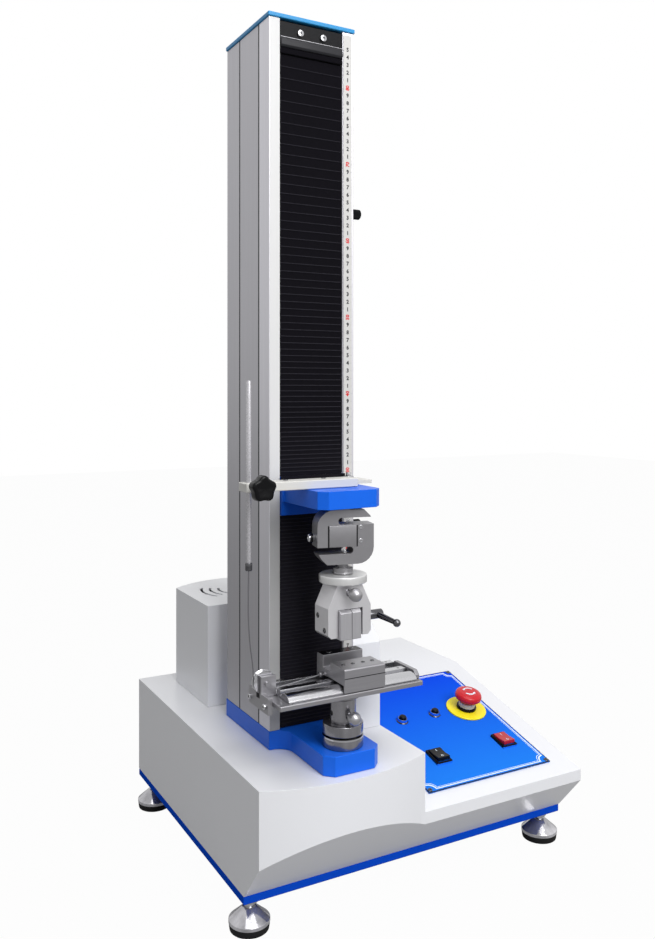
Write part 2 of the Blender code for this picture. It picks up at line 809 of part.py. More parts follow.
def build_column():
    outline = [(COLUMN_LEFT, COLUMN_FRONT)]
    for y in GROOVE_YS:
        outline += groove(COLUMN_LEFT, GROOVE_DEPTH, y, 1)
    outline += [(COLUMN_LEFT, COLUMN_BACK), (COLUMN_RIGHT, COLUMN_BACK)]
    for y in reversed(GROOVE_YS):
        outline += groove(COLUMN_RIGHT, -GROOVE_DEPTH, y, -1)
    wall = COLUMN_WALL
    outline += [
        (COLUMN_RIGHT, COLUMN_FRONT),
        (OPENING_RIGHT, COLUMN_FRONT),
        (OPENING_RIGHT, STRIP_BACK),
        (COLUMN_RIGHT - wall, STRIP_BACK),
        (COLUMN_RIGHT - wall, COLUMN_BACK - wall),
        (COLUMN_LEFT + wall, COLUMN_BACK - wall),
        (COLUMN_LEFT + wall, STRIP_BACK),
        (OPENING_LEFT, STRIP_BACK),
        (OPENING_LEFT, COLUMN_FRONT),
    ]
    prism("column_profile", [outline], COLUMN_TOP - COLUMN_BOTTOM, upright(z=COLUMN_BOTTOM), "aluminium")
    box(
        "column_cap",
        (COLUMN_LEFT - CAP_OVERHANG, COLUMN_FRONT - CAP_OVERHANG, COLUMN_TOP + GAP),
        (COLUMN_RIGHT + CAP_OVERHANG, COLUMN_BACK + CAP_OVERHANG, COLUMN_TOP + GAP + CAP_THICK),
        "arm_blue",
        edge=0.0008,
    )
    rule_x = OPENING_RIGHT + RULE_INSET
    box(
        "scale_rule",
        (rule_x, COLUMN_FRONT - GAP - RULE_THICK, COLUMN_BOTTOM),
        (rule_x + RULE_WIDTH, COLUMN_FRONT - GAP, COLUMN_TOP - RULE_DROP),
        "rule_white",
    )


def groove(face, depth, y, way):
    """Four points of a groove in a side of the column, in the order of the way along Y."""
    half = way * GROOVE_WIDTH / 2
    return [(face, y - half), (face + depth, y - half), (face + depth, y + half), (face, y + half)]


def tongue_outline(left, right, back, shoulder, half_width, front, chamfer, radius):
    """A plate as wide as the column that narrows through rounded shoulders to a chamfered tongue."""
    near, far = COLUMN_X - half_width, COLUMN_X + half_width
    return [
        (left, back),
        (left, shoulder),
        *arc((near - radius, shoulder - radius), radius, math.pi / 2, 0, 6)[1:],
        (near, front + chamfer),
        (near + chamfer, front),
        (far - chamfer, front),
        (far, front + chamfer),
        *arc((far + radius, shoulder - radius), radius, math.pi, math.pi / 2, 6)[:-1],
        (right, shoulder),
        (right, back),
    ]


def build_column_base():
    outline = tongue_outline(
        COLUMN_LEFT,
        COLUMN_RIGHT,
        COLUMN_BACK + COLUMN_BASE_BACK,
        COLUMN_FRONT,
        TONGUE_WIDTH / 2,
        TONGUE_FRONT,
        TONGUE_CHAMFER,
        SHOULDER_RADIUS,
    )
    base = prism("column_base", [outline], COLUMN_BASE_THICK, upright(z=COLUMN_BASE_BOTTOM), "arm_blue")
    middle = (COLUMN_BASE_BOTTOM + COLUMN_BASE_TOP) / 2
    cut(base, cylinder("base_hole", SHAFT_HOLE_RADIUS, 2 * COLUMN_BASE_THICK, (COLUMN_X, SCREW_Y, middle)))


def bellows(name, bottom, top, folds):
    """A folded sheet across the column's opening: a zigzag strip given its thickness."""
    left = OPENING_LEFT + GAP
    right = OPENING_RIGHT - GAP
    margin = BELLOWS_SHEET
    rise = (top - bottom - 2 * margin) / (2 * folds)
    reach = BELLOWS_DEPTH - 2 * margin
    heights = [bottom + margin + rise * i for i in range(2 * folds + 1)]
    depths = [BELLOWS_FRONT + margin + reach * (i % 2) for i in range(2 * folds + 1)]
    shape = bmesh.new()
    rows = [
        [shape.verts.new((x, y, z)) for x in (left, right)] for y, z in zip(depths, heights)
    ]
    for (a, b), (c, d) in zip(rows, rows[1:]):
        shape.faces.new((a, b, d, c))
    made = link(name, mesh_from(shape, name), "black_cloth")
    sheet = made.modifiers.new("Sheet", "SOLIDIFY")
    sheet.thickness = BELLOWS_SHEET
    sheet.offset = 0
    return made


def build_bellows():
    bellows("upper_bellows", FLANGE_TOP + GAP, CLAMP_BOTTOM - GAP, UPPER_FOLDS)
    bellows("lower_bellows", COLUMN_BOTTOM, FLANGE_BOTTOM - GAP, LOWER_FOLDS)
    box(
        "bellows_clamp",
        (OPENING_LEFT + GAP, BELLOWS_FRONT, CLAMP_BOTTOM),
        (OPENING_RIGHT - GAP, BELLOWS_FRONT + CLAMP_THICK, COLUMN_TOP - CLAMP_DROP),
        "black_plastic",
        edge=CLAMP_EDGE,
    )


def bearing_block(name, bottom, inside):
    """A block across the column for the screw and both guide rods."""
    middle = bottom + BEARING_THICK / 2
    block = box(
        name,
        (COLUMN_X - inside / 2, SCREW_Y - BEARING_DEPTH / 2, bottom),
        (COLUMN_X + inside / 2, SCREW_Y + BEARING_DEPTH / 2, bottom + BEARING_THICK),
        "steel",
        edge=0.0010,
    )
    reach = 2 * BEARING_THICK
    cut(block, cylinder(name + "_bore", SCREW_RADIUS + BORE_CLEARANCE, reach, (COLUMN_X, SCREW_Y, middle)))
    return block


def build_drive():
    inside = COLUMN_WIDTH - 2 * COLUMN_WALL - 2 * GAP
    top_block = COLUMN_TOP - BEARING_DROP - BEARING_THICK
    bearing_block("screw_bearing_bottom", COLUMN_BOTTOM, inside)
    bearing_block("screw_bearing_top", top_block, inside)
    rod_bottom = COLUMN_BOTTOM + BEARING_THICK + GAP
    rod_top = top_block - GAP
    for hand, side in (("left", -1), ("right", 1)):
        cylinder(
            f"guide_rod_{hand}",
            ROD_RADIUS,
            rod_top - rod_bottom,
            (COLUMN_X + side * ROD_OFFSET, SCREW_Y, (rod_bottom + rod_top) / 2),
            "bright_metal",
            sides=20,
        )
    screw_bottom = PULLEY_BOTTOM - SCREW_END
    screw_top = top_block + BEARING_THICK - SCREW_END
    screw = rod_profile(SCREW_RADIUS, screw_bottom, screw_top)
    turned("ball_screw", screw, (COLUMN_X, SCREW_Y, 0), "bright_metal", sides=24)
    pulley_top = PULLEY_BOTTOM + BELT_PULLEY_THICK
    bore = SCREW_RADIUS + GAP
    turned(
        "screw_pulley",
        ring_profile(SCREW_PULLEY_RADIUS, bore, PULLEY_BOTTOM, pulley_top),
        (COLUMN_X, SCREW_Y, 0),
        "aluminium",
        ring=True,
        sides=32,
    )
    shaft_top = BASE_TOP + GAP + MOTOR_FLANGE_THICK + MOTOR_HEIGHT / 2
    turned(
        "motor_pulley",
        [
            (0, shaft_top),
            (SHAFT_RADIUS, shaft_top),
            (SHAFT_RADIUS, pulley_top),
            (MOTOR_PULLEY_RADIUS, pulley_top),
            (MOTOR_PULLEY_RADIUS, PULLEY_BOTTOM),
            (0, PULLEY_BOTTOM),
        ],
        (MOTOR_X, MOTOR_Y, 0),
        "aluminium",
    )
    half = MOTOR_FLANGE / 2
    flange_bottom = BASE_TOP + GAP
    flange_top = flange_bottom + MOTOR_FLANGE_THICK
    motor = box(
        "motor",
        (MOTOR_X - half, MOTOR_Y - half, flange_bottom),
        (MOTOR_X + half, MOTOR_Y + half, flange_top),
        "motor_black",
        edge=0.0015,
    )
    can_middle = flange_top - 0.0020 + MOTOR_HEIGHT / 2
    join(motor, cylinder("motor_can", MOTOR_RADIUS, MOTOR_HEIGHT, (MOTOR_X, MOTOR_Y, can_middle), sides=32))
    shaft_room = shaft_top + GAP - flange_bottom
    room_middle = (shaft_top + GAP + flange_bottom - 0.0100) / 2
    room_radius = SHAFT_RADIUS + BORE_CLEARANCE
    cut(
        motor,
        cylinder("shaft_room", room_radius, shaft_room + 0.0100, (MOTOR_X, MOTOR_Y, room_middle)),
    )
    build_belt(pulley_top)


def belt_loop(grow):
    """The outline that wraps both pulleys, grown by a distance."""
    screw = Vector((COLUMN_X, SCREW_Y))
    rotor = Vector((MOTOR_X, MOTOR_Y))
    way = rotor - screw
    heading = math.atan2(way.y, way.x)
    lean = math.acos((SCREW_PULLEY_RADIUS - MOTOR_PULLEY_RADIUS) / way.length)
    return [
        *arc(rotor, MOTOR_PULLEY_RADIUS + grow, heading - lean, heading + lean, 12),
        *arc(screw, SCREW_PULLEY_RADIUS + grow, heading + lean, heading + 2 * math.pi - lean, 20),
    ]


def build_belt(pulley_top):
    margin = 0.0010
    height = pulley_top - PULLEY_BOTTOM - 2 * margin
    # The loop's chords cut inside the arcs, so its inner side stands a little further off.
    slack = 2 * GAP
    prism(
        "drive_belt",
        [belt_loop(slack + BELT_THICK), belt_loop(slack)],
        height,
        upright(z=PULLEY_BOTTOM + margin),
        "rubber",
    )


def build_crosshead():
    carriage_front = STRIP_BACK + CARRIAGE_SETBACK
    middle_z = (FLANGE_TOP + FLANGE_BOTTOM) / 2
    flange_front = COLUMN_FRONT - FLANGE_PROUD
    flange_back = flange_front + FLANGE_THICK
    carriage = box(
        "carriage",
        (COLUMN_X - CARRIAGE_WIDTH / 2, carriage_front, middle_z - CARRIAGE_HEIGHT / 2),
        (COLUMN_X + CARRIAGE_WIDTH / 2, carriage_front + CARRIAGE_DEPTH, middle_z + CARRIAGE_HEIGHT / 2),
        "steel",
        edge=CARRIAGE_EDGE,
    )
    join(
        carriage,
        box(
            "carriage_neck",
            (OPENING_LEFT + NECK_MARGIN, flange_back + GAP, FLANGE_BOTTOM + NECK_MARGIN),
            (OPENING_RIGHT - NECK_MARGIN, carriage_front + NECK_MARGIN, FLANGE_TOP - NECK_MARGIN),
        ),
    )
    reach = 2 * CARRIAGE_HEIGHT
    for name, offset, radius in (
        ("nut_bore", 0, SCREW_RADIUS),
        ("left_rod_bore", -ROD_OFFSET, ROD_RADIUS),
        ("right_rod_bore", ROD_OFFSET, ROD_RADIUS),
    ):
        bore = cylinder(name, radius + BORE_CLEARANCE, reach, (COLUMN_X + offset, SCREW_Y, middle_z))
        cut(carriage, bore)
    side = GAP * 2
    outline = tongue_outline(
        OPENING_LEFT + side,
        OPENING_RIGHT - side,
        flange_back,
        flange_front - FLANGE_LAP,
        ARM_WIDTH / 2,
        ARM_FRONT,
        ARM_CHAMFER,
        ARM_SHOULDER_RADIUS,
    )
    arm = prism("crosshead_arm", [outline], ARM_THICK, upright(z=ARM_TOP - ARM_THICK), "arm_blue")
    join(
        arm,
        box(
            "arm_flange",
            (OPENING_LEFT + side, flange_front, FLANGE_BOTTOM),
            (OPENING_RIGHT - side, flange_back, FLANGE_TOP),
        ),
    )
    build_extension_bar()


def build_extension_bar():
    bottom = ARM_TOP + GAP
    top = bottom + BAR_THICK
    bar = box(
        "extension_bar",
        (BAR_LEFT, BAR_FRONT, bottom),
        (BAR_RIGHT, BAR_BACK, top),
        "bright_metal",
        edge=BAR_EDGE,
    )
    finger_bottom = bottom + FINGER_INSET
    finger_top = finger_bottom + FINGER_THICK
    join(
        bar,
        box(
            "pointer_plate",
            (FINGER_LEFT, BAR_BACK - FINGER_LAP, finger_bottom),
            (FINGER_RIGHT, COLUMN_FRONT - FLANGE_PROUD - FINGER_LAP, finger_top),
        ),
    )
    middle = (bottom + top) / 2
    bore = PULL_ROD_RADIUS + BORE_CLEARANCE
    past = 0.0100
    cut(
        bar,
        cylinder("pull_rod_bore", bore, 4 * BAR_THICK, (PULL_ROD_X, PULL_ROD_Y, middle)),
        cylinder(
            "knob_bore",
            bore,
            PULL_ROD_Y - BAR_FRONT + past,
            (PULL_ROD_X, (BAR_FRONT + PULL_ROD_Y - past) / 2, middle),
            turn=TURN_TO_FRONT,
        ),
    )
    pointer_left = OPENING_RIGHT - POINTER_LAP
    pointer_back = COLUMN_FRONT - FLANGE_PROUD - POINTER_CLEAR
    box(
        "scale_pointer",
        (pointer_left, pointer_back - POINTER_LENGTH, finger_top + GAP),
        (pointer_left + POINTER_WIDTH, pointer_back, finger_top + GAP + POINTER_THICK),
        "bright_metal",
        edge=0.0006,
    )
    length = PULL_ROD_TOP - PULL_ROD_BOTTOM
    rod = cylinder(
        "pull_rod",
        PULL_ROD_RADIUS,
        length,
        (PULL_ROD_X, PULL_ROD_Y, PULL_ROD_BOTTOM + length / 2),
        "bright_metal",
        sides=20,
    )
    ferrule_middle = (PULL_ROD_X, PULL_ROD_Y, PULL_ROD_BOTTOM + FERRULE_LENGTH / 2 - FERRULE_LIP / 2)
    join(rod, cylinder("ferrule", FERRULE_RADIUS, FERRULE_LENGTH + FERRULE_LIP, ferrule_middle, sides=20))
    build_star_knob(middle)


def build_star_knob(z):
    """Five lobes: the radius rises and falls five times in a turn."""
    count = 8 * KNOB_LOBES
    lobes = [
        (
            (KNOB_RADIUS - KNOB_LOBE + KNOB_LOBE * math.cos(KNOB_LOBES * turn)) * math.sin(turn),
            (KNOB_RADIUS - KNOB_LOBE + KNOB_LOBE * math.cos(KNOB_LOBES * turn)) * math.cos(turn),
        )
        for turn in (2 * math.pi * i / count for i in range(count))
    ]
    back = BAR_FRONT - KNOB_NECK
    knob = prism("star_knob", [lobes], KNOB_THICK, along_y(back, PULL_ROD_X, z), "black_plastic")
    bevel(knob, KNOB_EDGE)
    tip = PULL_ROD_Y - PULL_ROD_RADIUS - GAP
    stud = tip - back + 2 * KNOB_SINK
    join(
        knob,
        cylinder(
            "knob_stud",
            PULL_ROD_RADIUS,
            stud,
            (PULL_ROD_X, tip - stud / 2, z),
            turn=TURN_TO_FRONT,
            sides=20,
        ),
        cylinder(
            "knob_hub",
            KNOB_HUB_RADIUS,
            KNOB_NECK / 2,
            (PULL_ROD_X, back + KNOB_NECK / 4 - KNOB_SINK, z),
            turn=TURN_TO_BACK,
            sides=20,
            top=KNOB_HUB_TIP_RADIUS,
        ),
    )


CELL_TOP = ARM_TOP - ARM_THICK - GAP - CELL_STUD_GAP
CELL_BOTTOM = CELL_TOP - CELL_HEIGHT
STUD_BOTTOM = CELL_BOTTOM - CELL_STUD_LENGTH
GRIP_TOP = STUD_BOTTOM - GAP - LOCK_RING_THICK
GRIP_BOTTOM = GRIP_TOP - GRIP_HEIGHT
PIN_Z = GRIP_TOP - PIN_DROP
LEVER_Z = GRIP_BOTTOM + LEVER_HEIGHT


def build_load_cell():
    """An S: two slots from opposite sides, two round corners and two cut ones."""
    half = CELL_WIDTH / 2
    height = CELL_HEIGHT
    outline = [
        *arc((-half + CELL_ROUND, height - CELL_ROUND), CELL_ROUND, math.pi, math.pi / 2, 6),
        (half - CELL_CUT, height),
        (half - CELL_CUT + CELL_CHAMFER, height - CELL_CHAMFER),
        (half, height - CELL_STEP),
        *arc((half - CELL_ROUND, CELL_ROUND), CELL_ROUND, 0, -math.pi / 2, 6),
        (-half + CELL_CUT, 0),
        (-half + CELL_CUT - CELL_CHAMFER, CELL_CHAMFER),
        (-half, CELL_STEP),
    ]
    back = LOAD_Y + CELL_THICK / 2
    cell = prism("load_cell", [outline], CELL_THICK, along_y(back, COLUMN_X, CELL_BOTTOM), "aluminium")
    reach = 2 * CELL_THICK
    for name, side, z in (
        ("upper_slot", 1, height - CELL_SLOT_DEPTHS[0]),
        ("lower_slot", -1, CELL_SLOT_DEPTHS[1]),
    ):
        inner = COLUMN_X - side * CELL_SLOT_REACH
        outer = COLUMN_X + side * (half + CELL_SLOT)
        low_x, high_x = sorted((inner, outer))
        slot = box(
            name,
            (low_x, LOAD_Y - reach / 2, CELL_BOTTOM + z - CELL_SLOT / 2),
            (high_x, LOAD_Y + reach / 2, CELL_BOTTOM + z + CELL_SLOT / 2),
        )
        cut(cell, slot)
        end = cylinder(
            name + "_end",
            CELL_SLOT_END_RADIUS,
            reach,
            (inner, LOAD_Y, CELL_BOTTOM + z),
            turn=TURN_TO_FRONT,
            sides=16,
        )
        cut(cell, end)
    join(
        cell,
        cylinder(
            "upper_stud",
            CELL_NUT_RADIUS,
            CELL_STUD_GAP + SINK,
            (COLUMN_X, LOAD_Y, CELL_TOP + (CELL_STUD_GAP - SINK) / 2),
            sides=24,
        ),
        cylinder(
            "lower_stud",
            CELL_STUD_RADIUS,
            CELL_STUD_LENGTH + SINK,
            (COLUMN_X, LOAD_Y, STUD_BOTTOM + (CELL_STUD_LENGTH + SINK) / 2),
            sides=24,
        ),
        cylinder(
            "cell_nut",
            CELL_NUT_RADIUS,
            CELL_NUT_THICK,
            (COLUMN_X, LOAD_Y, STUD_BOTTOM + CELL_NUT_LIFT + CELL_NUT_THICK / 2),
            sides=24,
        ),
        cylinder(
            "lead_socket",
            CELL_SOCKET_RADIUS,
            CELL_SOCKET_LENGTH,
            (
                COLUMN_X - half - CELL_SOCKET_PROUD + CELL_SOCKET_LENGTH / 2,
                LOAD_Y,
                CELL_BOTTOM + height / 2 - CELL_NUT_LIFT,
            ),
            turn=TURN_TO_X,
            sides=16,
        ),
    )
    axis = Vector((COLUMN_X, LOAD_Y, 0))
    about = Matrix.Translation(axis) @ Matrix.Rotation(CELL_TURN, 4, "Z") @ Matrix.Translation(-axis)
    for made in (cell, *(modifier.object for modifier in cell.modifiers)):
        made.matrix_basis = about @ made.matrix_basis


def build_grip():
    ring_bottom = GRIP_TOP + GAP
    ring_top = ring_bottom + LOCK_RING_THICK - GAP
    edge = RING_EDGE
    turned(
        "upper_lock_ring",
        [
            (LOCK_RING_RADIUS - edge, ring_top),
            (LOCK_RING_RADIUS, ring_top - edge),
            (LOCK_RING_RADIUS, ring_bottom + edge),
            (LOCK_RING_RADIUS - edge, ring_bottom),
            (NECK_RADIUS + BORE_CLEARANCE, ring_bottom),
            (NECK_RADIUS + BORE_CLEARANCE, ring_top),
        ],
        (COLUMN_X, LOAD_Y, 0),
        "aluminium",
        ring=True,
        sides=32,
    )
    half = GRIP_WIDTH / 2
    narrow = GRIP_TOP_WIDTH / 2
    foot = GRIP_CHAMFER
    outline = [
        (-half, foot),
        (-half, GRIP_HEIGHT - GRIP_SHOULDER),
        (-narrow, GRIP_HEIGHT),
        (narrow, GRIP_HEIGHT),
        (half, GRIP_HEIGHT - GRIP_SHOULDER),
        (half, foot),
        (half - foot, 0),
        (-half + foot, 0),
    ]
    back = LOAD_Y + GRIP_DEPTH / 2
    grip = prism("grip_body", [outline], GRIP_DEPTH, along_y(back, COLUMN_X, GRIP_BOTTOM), "aluminium")
    neck_top = STUD_BOTTOM - GAP
    neck = cylinder(
        "grip_neck",
        NECK_RADIUS,
        neck_top - GRIP_TOP + SINK,
        (COLUMN_X, LOAD_Y, (neck_top + GRIP_TOP - SINK) / 2),
        sides=24,
    )
    join(grip, neck)
    reach = 2 * GRIP_DEPTH
    window_left = COLUMN_X - FIXED_JAW_WIDTH - GAP
    window_right = COLUMN_X + MOVING_JAW_WIDTH + JAW_TRAVEL + 2 * GAP
    jaw_top = GRIP_BOTTOM + JAW_WINDOW_HEIGHT
    cut(
        grip,
        box(
            "jaw_window",
            (window_left, LOAD_Y - reach / 2, GRIP_BOTTOM - reach / 2),
            (window_right, LOAD_Y + reach / 2, jaw_top),
        ),
        cylinder(
            "grip_pin_bore",
            PIN_RADIUS + BORE_CLEARANCE,
            reach,
            (COLUMN_X, LOAD_Y, PIN_Z),
            turn=TURN_TO_FRONT,
            sides=20,
        ),
        cylinder(
            "lever_bore",
            LEVER_SCREW_RADIUS + BORE_CLEARANCE,
            half,
            (COLUMN_X + half, LOAD_Y, LEVER_Z),
            turn=TURN_TO_X,
            sides=20,
        ),
    )
    jaw_front = LOAD_Y - GRIP_DEPTH / 2 - JAW_PROUD
    jaw_back = LOAD_Y + GRIP_DEPTH / 2
    jaw_bottom = GRIP_BOTTOM - JAW_DROP
    side = [
        (jaw_front, jaw_bottom),
        (jaw_back, jaw_bottom),
        (jaw_back, jaw_top - GAP),
        (jaw_front + JAW_CHAMFER, jaw_top - GAP),
        (jaw_front, jaw_top - GAP - JAW_CHAMFER),
    ]
    for name, left, right in (
        ("fixed_jaw", window_left + GAP, COLUMN_X - GAP / 2),
        ("moving_jaw", COLUMN_X + GAP / 2, COLUMN_X + MOVING_JAW_WIDTH),
    ):
        jaw = prism(name, [side], right - left, along_x(left), "steel")
        bevel(jaw, JAW_EDGE)
    build_lever(COLUMN_X + MOVING_JAW_WIDTH + JAW_TRAVEL + GAP, COLUMN_X + half)
    pin("grip_pin", (COLUMN_X, LOAD_Y, PIN_Z), PIN_REACH, GRIP_DEPTH / 2)


def build_lever(tip, cheek):
    """A clamping lever: screw, hub and a ball-ended arm that reaches forwards."""
    hub_start = cheek + LEVER_CLEAR
    hub_end = hub_start + LEVER_HUB_LENGTH
    lever = turned(
        "clamp_lever",
        [
            (0, hub_end),
            (LEVER_HUB_RADIUS - LEVER_EDGE, hub_end),
            (LEVER_HUB_RADIUS, hub_end - LEVER_EDGE),
            (LEVER_HUB_RADIUS, hub_start),
            (LEVER_SCREW_RADIUS, hub_start),
            (LEVER_SCREW_RADIUS, tip),
            (0, tip),
        ],
        (0, LOAD_Y, LEVER_Z),
        "bright_metal",
        turn=TURN_TO_X,
        sides=20,
    )
    start = Vector((hub_end - LEVER_ARM_INSET, LOAD_Y, LEVER_Z))
    end = start + Vector((LEVER_SPREAD, -LEVER_ARM, -LEVER_DROOP))
    arm = cylinder(
        "lever_arm",
        LEVER_ARM_ROOT_RADIUS,
        (end - start).length,
        (start + end) / 2,
        sides=16,
        top=LEVER_ARM_TIP_RADIUS,
    )
    arm.rotation_euler = (end - start).to_track_quat("Z", "Y").to_euler()
    join(lever, arm, ball("lever_ball", LEVER_BALL_RADIUS, end))


def pin(name, centre, reach, back):
    """A pin along Y with a ball head in front."""
    length = reach + back
    shank = cylinder(
        name,
        PIN_RADIUS,
        length,
        Vector(centre) + Vector((0, back - length / 2, 0)),
        "bright_metal",
        turn=TURN_TO_FRONT,
        sides=20,
    )
    join(shank, ball(name + "_ball", PIN_BALL_RADIUS, Vector(centre) + Vector((0, -reach, 0))))


SOCKET_TOP = COLUMN_BASE_TOP + GAP + SOCKET_RING_THICK
LOWER_RING_BOTTOM = SOCKET_TOP + LOWER_RING_GAP
LOWER_RING_TOP = LOWER_RING_BOTTOM + LOWER_RING_THICK
STEM_BOTTOM = LOWER_RING_TOP + GAP
STEM_TOP = FIXTURE_BOTTOM - GAP
LOWER_PIN_Z = STEM_BOTTOM + LOWER_PIN_LIFT


def build_lower_adapter():
    bottom = COLUMN_BASE_TOP + GAP
    spigot_top = STEM_TOP - STEM_FLANGE_THICK - STEM_ROOM
    edge = ADAPTER_EDGE
    socket = turned(
        "lower_socket",
        [
            (0, spigot_top),
            (SPIGOT_RADIUS, spigot_top),
            (SPIGOT_RADIUS, LOWER_RING_TOP),
            (COLLAR_RADIUS, LOWER_RING_TOP),
            (COLLAR_RADIUS, SOCKET_TOP),
            (SOCKET_RADIUS - edge, SOCKET_TOP),
            (SOCKET_RADIUS, SOCKET_TOP - edge),
            (SOCKET_RADIUS, bottom + edge),
            (SOCKET_RADIUS - edge, bottom),
            (0, bottom),
        ],
        (COLUMN_X, LOAD_Y, 0),
        "steel",
        sides=32,
    )
    turned(
        "lower_lock_ring",
        [
            (SOCKET_RADIUS - edge, LOWER_RING_TOP),
            (SOCKET_RADIUS, LOWER_RING_TOP - edge),
            (SOCKET_RADIUS, LOWER_RING_BOTTOM + edge),
            (SOCKET_RADIUS - edge, LOWER_RING_BOTTOM),
            (COLLAR_RADIUS + BORE_CLEARANCE, LOWER_RING_BOTTOM),
            (COLLAR_RADIUS + BORE_CLEARANCE, LOWER_RING_TOP),
        ],
        (COLUMN_X, LOAD_Y, 0),
        "bright_metal",
        ring=True,
        sides=32,
    )
    flange_bottom = STEM_TOP - STEM_FLANGE_THICK
    stem = turned(
        "fixture_stem",
        [
            (0, STEM_TOP),
            (STEM_FLANGE_RADIUS, STEM_TOP),
            (STEM_FLANGE_RADIUS, flange_bottom),
            (STEM_RADIUS, flange_bottom - STEM_FLARE),
            (STEM_RADIUS, STEM_BOTTOM),
            (SPIGOT_RADIUS + BORE_CLEARANCE, STEM_BOTTOM),
            (SPIGOT_RADIUS + BORE_CLEARANCE, spigot_top + GAP),
            (0, spigot_top + GAP),
        ],
        (COLUMN_X, LOAD_Y, 0),
        "steel",
        sides=32,
    )
    reach = 4 * STEM_RADIUS
    for name, target in (("socket_pin_bore", socket), ("stem_pin_bore", stem)):
        bore = cylinder(
            name,
            PIN_RADIUS + BORE_CLEARANCE,
            reach,
            (COLUMN_X, LOAD_Y, LOWER_PIN_Z),
            turn=TURN_TO_FRONT,
            sides=20,
        )
        cut(target, bore)
    side_hole = cylinder(
        "stem_side_hole",
        SIDE_HOLE_RADIUS,
        STEM_RADIUS,
        (COLUMN_X - STEM_RADIUS, LOAD_Y, LOWER_PIN_Z + SIDE_HOLE_LIFT),
        turn=TURN_TO_X,
        sides=16,
    )
    cut(stem, side_hole)
    pin("fixture_pin", (COLUMN_X, LOAD_Y, LOWER_PIN_Z), LOWER_PIN_REACH, STEM_RADIUS + LOWER_PIN_BACK)


FIXTURE_TOP = FIXTURE_BOTTOM + FIXTURE_THICK
RAIL_BOTTOM = FIXTURE_TOP + GAP
STRIP_TOP = RAIL_BOTTOM + RAIL_STRIP
SLIDER_BOTTOM = STRIP_TOP + GAP


def build_fixture():
    box(
        "fixture_plate",
        (FIXTURE_LEFT, FIXTURE_FRONT, FIXTURE_BOTTOM),
        (FIXTURE_RIGHT, FIXTURE_BACK, FIXTURE_TOP),
        "steel",
        edge=PLATE_EDGE,
    )
    floor = RAIL_BOTTOM + RAIL_FLOOR
    dome = bow_arc((DOME_BACK, floor), (RAIL_FRONT, floor), RAIL_DOME - RAIL_FLOOR, 10)
    rail = [
        (RAIL_FRONT, RAIL_BOTTOM),
        (REAR_STRIP_BACK, RAIL_BOTTOM),
        (REAR_STRIP_BACK, STRIP_TOP),
        (REAR_STRIP_FRONT, STRIP_TOP),
        (REAR_STRIP_FRONT, floor),
        (FRONT_STRIP_BACK, floor),
        (FRONT_STRIP_BACK, STRIP_TOP),
        (DOME_BACK, STRIP_TOP),
        *dome,
    ]
    rail_left = WIRE_PULLEY_X + FORK_REACH + GAP
    rail_right = FIXTURE_RIGHT - END_PLATE_THICK - 2 * GAP
    prism("guide_rail", [rail], rail_right - rail_left, along_x(rail_left), "bright_metal")
    build_end_plate()
    build_slider()
    build_pulley()


def build_end_plate():
    front = END_PLATE_FRONT
    back = END_PLATE_BACK
    top = RAIL_BOTTOM + END_PLATE_HEIGHT
    chamfer = END_PLATE_HEIGHT / 2
    outline = [
        (front, RAIL_BOTTOM),
        (back, RAIL_BOTTOM),
        (back, top - chamfer),
        (back - chamfer, top),
        (front + chamfer, top),
        (front, top - chamfer),
    ]
    prism("end_plate", [outline], END_PLATE_THICK, along_x(FIXTURE_RIGHT - END_PLATE_THICK), "steel")


def build_slider():
    """A saddle over the rail: skirts outside it, a clamp block in front and a taller one behind."""
    edge = SLIDER_EDGE
    skirt_bottom = FIXTURE_TOP + 2 * GAP
    outline = [
        (SLIDER_FRONT, skirt_bottom),
        (SLIDER_FRONT, SLIDER_FRONT_TOP - edge),
        (SLIDER_FRONT + edge, SLIDER_FRONT_TOP),
        (SLIDER_CHANNEL_FRONT, SLIDER_FRONT_TOP),
        (SLIDER_CHANNEL_FRONT, SLIDER_CHANNEL_TOP),
        (SLIDER_CHANNEL_BACK, SLIDER_CHANNEL_TOP),
        (SLIDER_CHANNEL_BACK, SLIDER_REAR_TOP),
        (SLIDER_BACK - edge, SLIDER_REAR_TOP),
        (SLIDER_BACK, SLIDER_REAR_TOP - edge),
        (SLIDER_BACK, skirt_bottom),
        (SLIDER_BACK - SLIDER_SKIRT, skirt_bottom),
        (SLIDER_BACK - SLIDER_SKIRT, SLIDER_BOTTOM),
        (SLIDER_FRONT + SLIDER_SKIRT, SLIDER_BOTTOM),
        (SLIDER_FRONT + SLIDER_SKIRT, skirt_bottom),
    ]
    slider = prism("slider", [outline], SLIDER_LENGTH, along_x(SLIDER_LEFT), "steel")
    sink = 0.0030
    join(
        slider,
        cylinder(
            "wire_anchor",
            ANCHOR_RADIUS,
            ANCHOR_LENGTH + sink,
            (SLIDER_LEFT - (ANCHOR_LENGTH - sink) / 2, WIRE_PULLEY_Y, ANCHOR_Z),
            turn=TURN_TO_X,
            sides=16,
        ),
    )


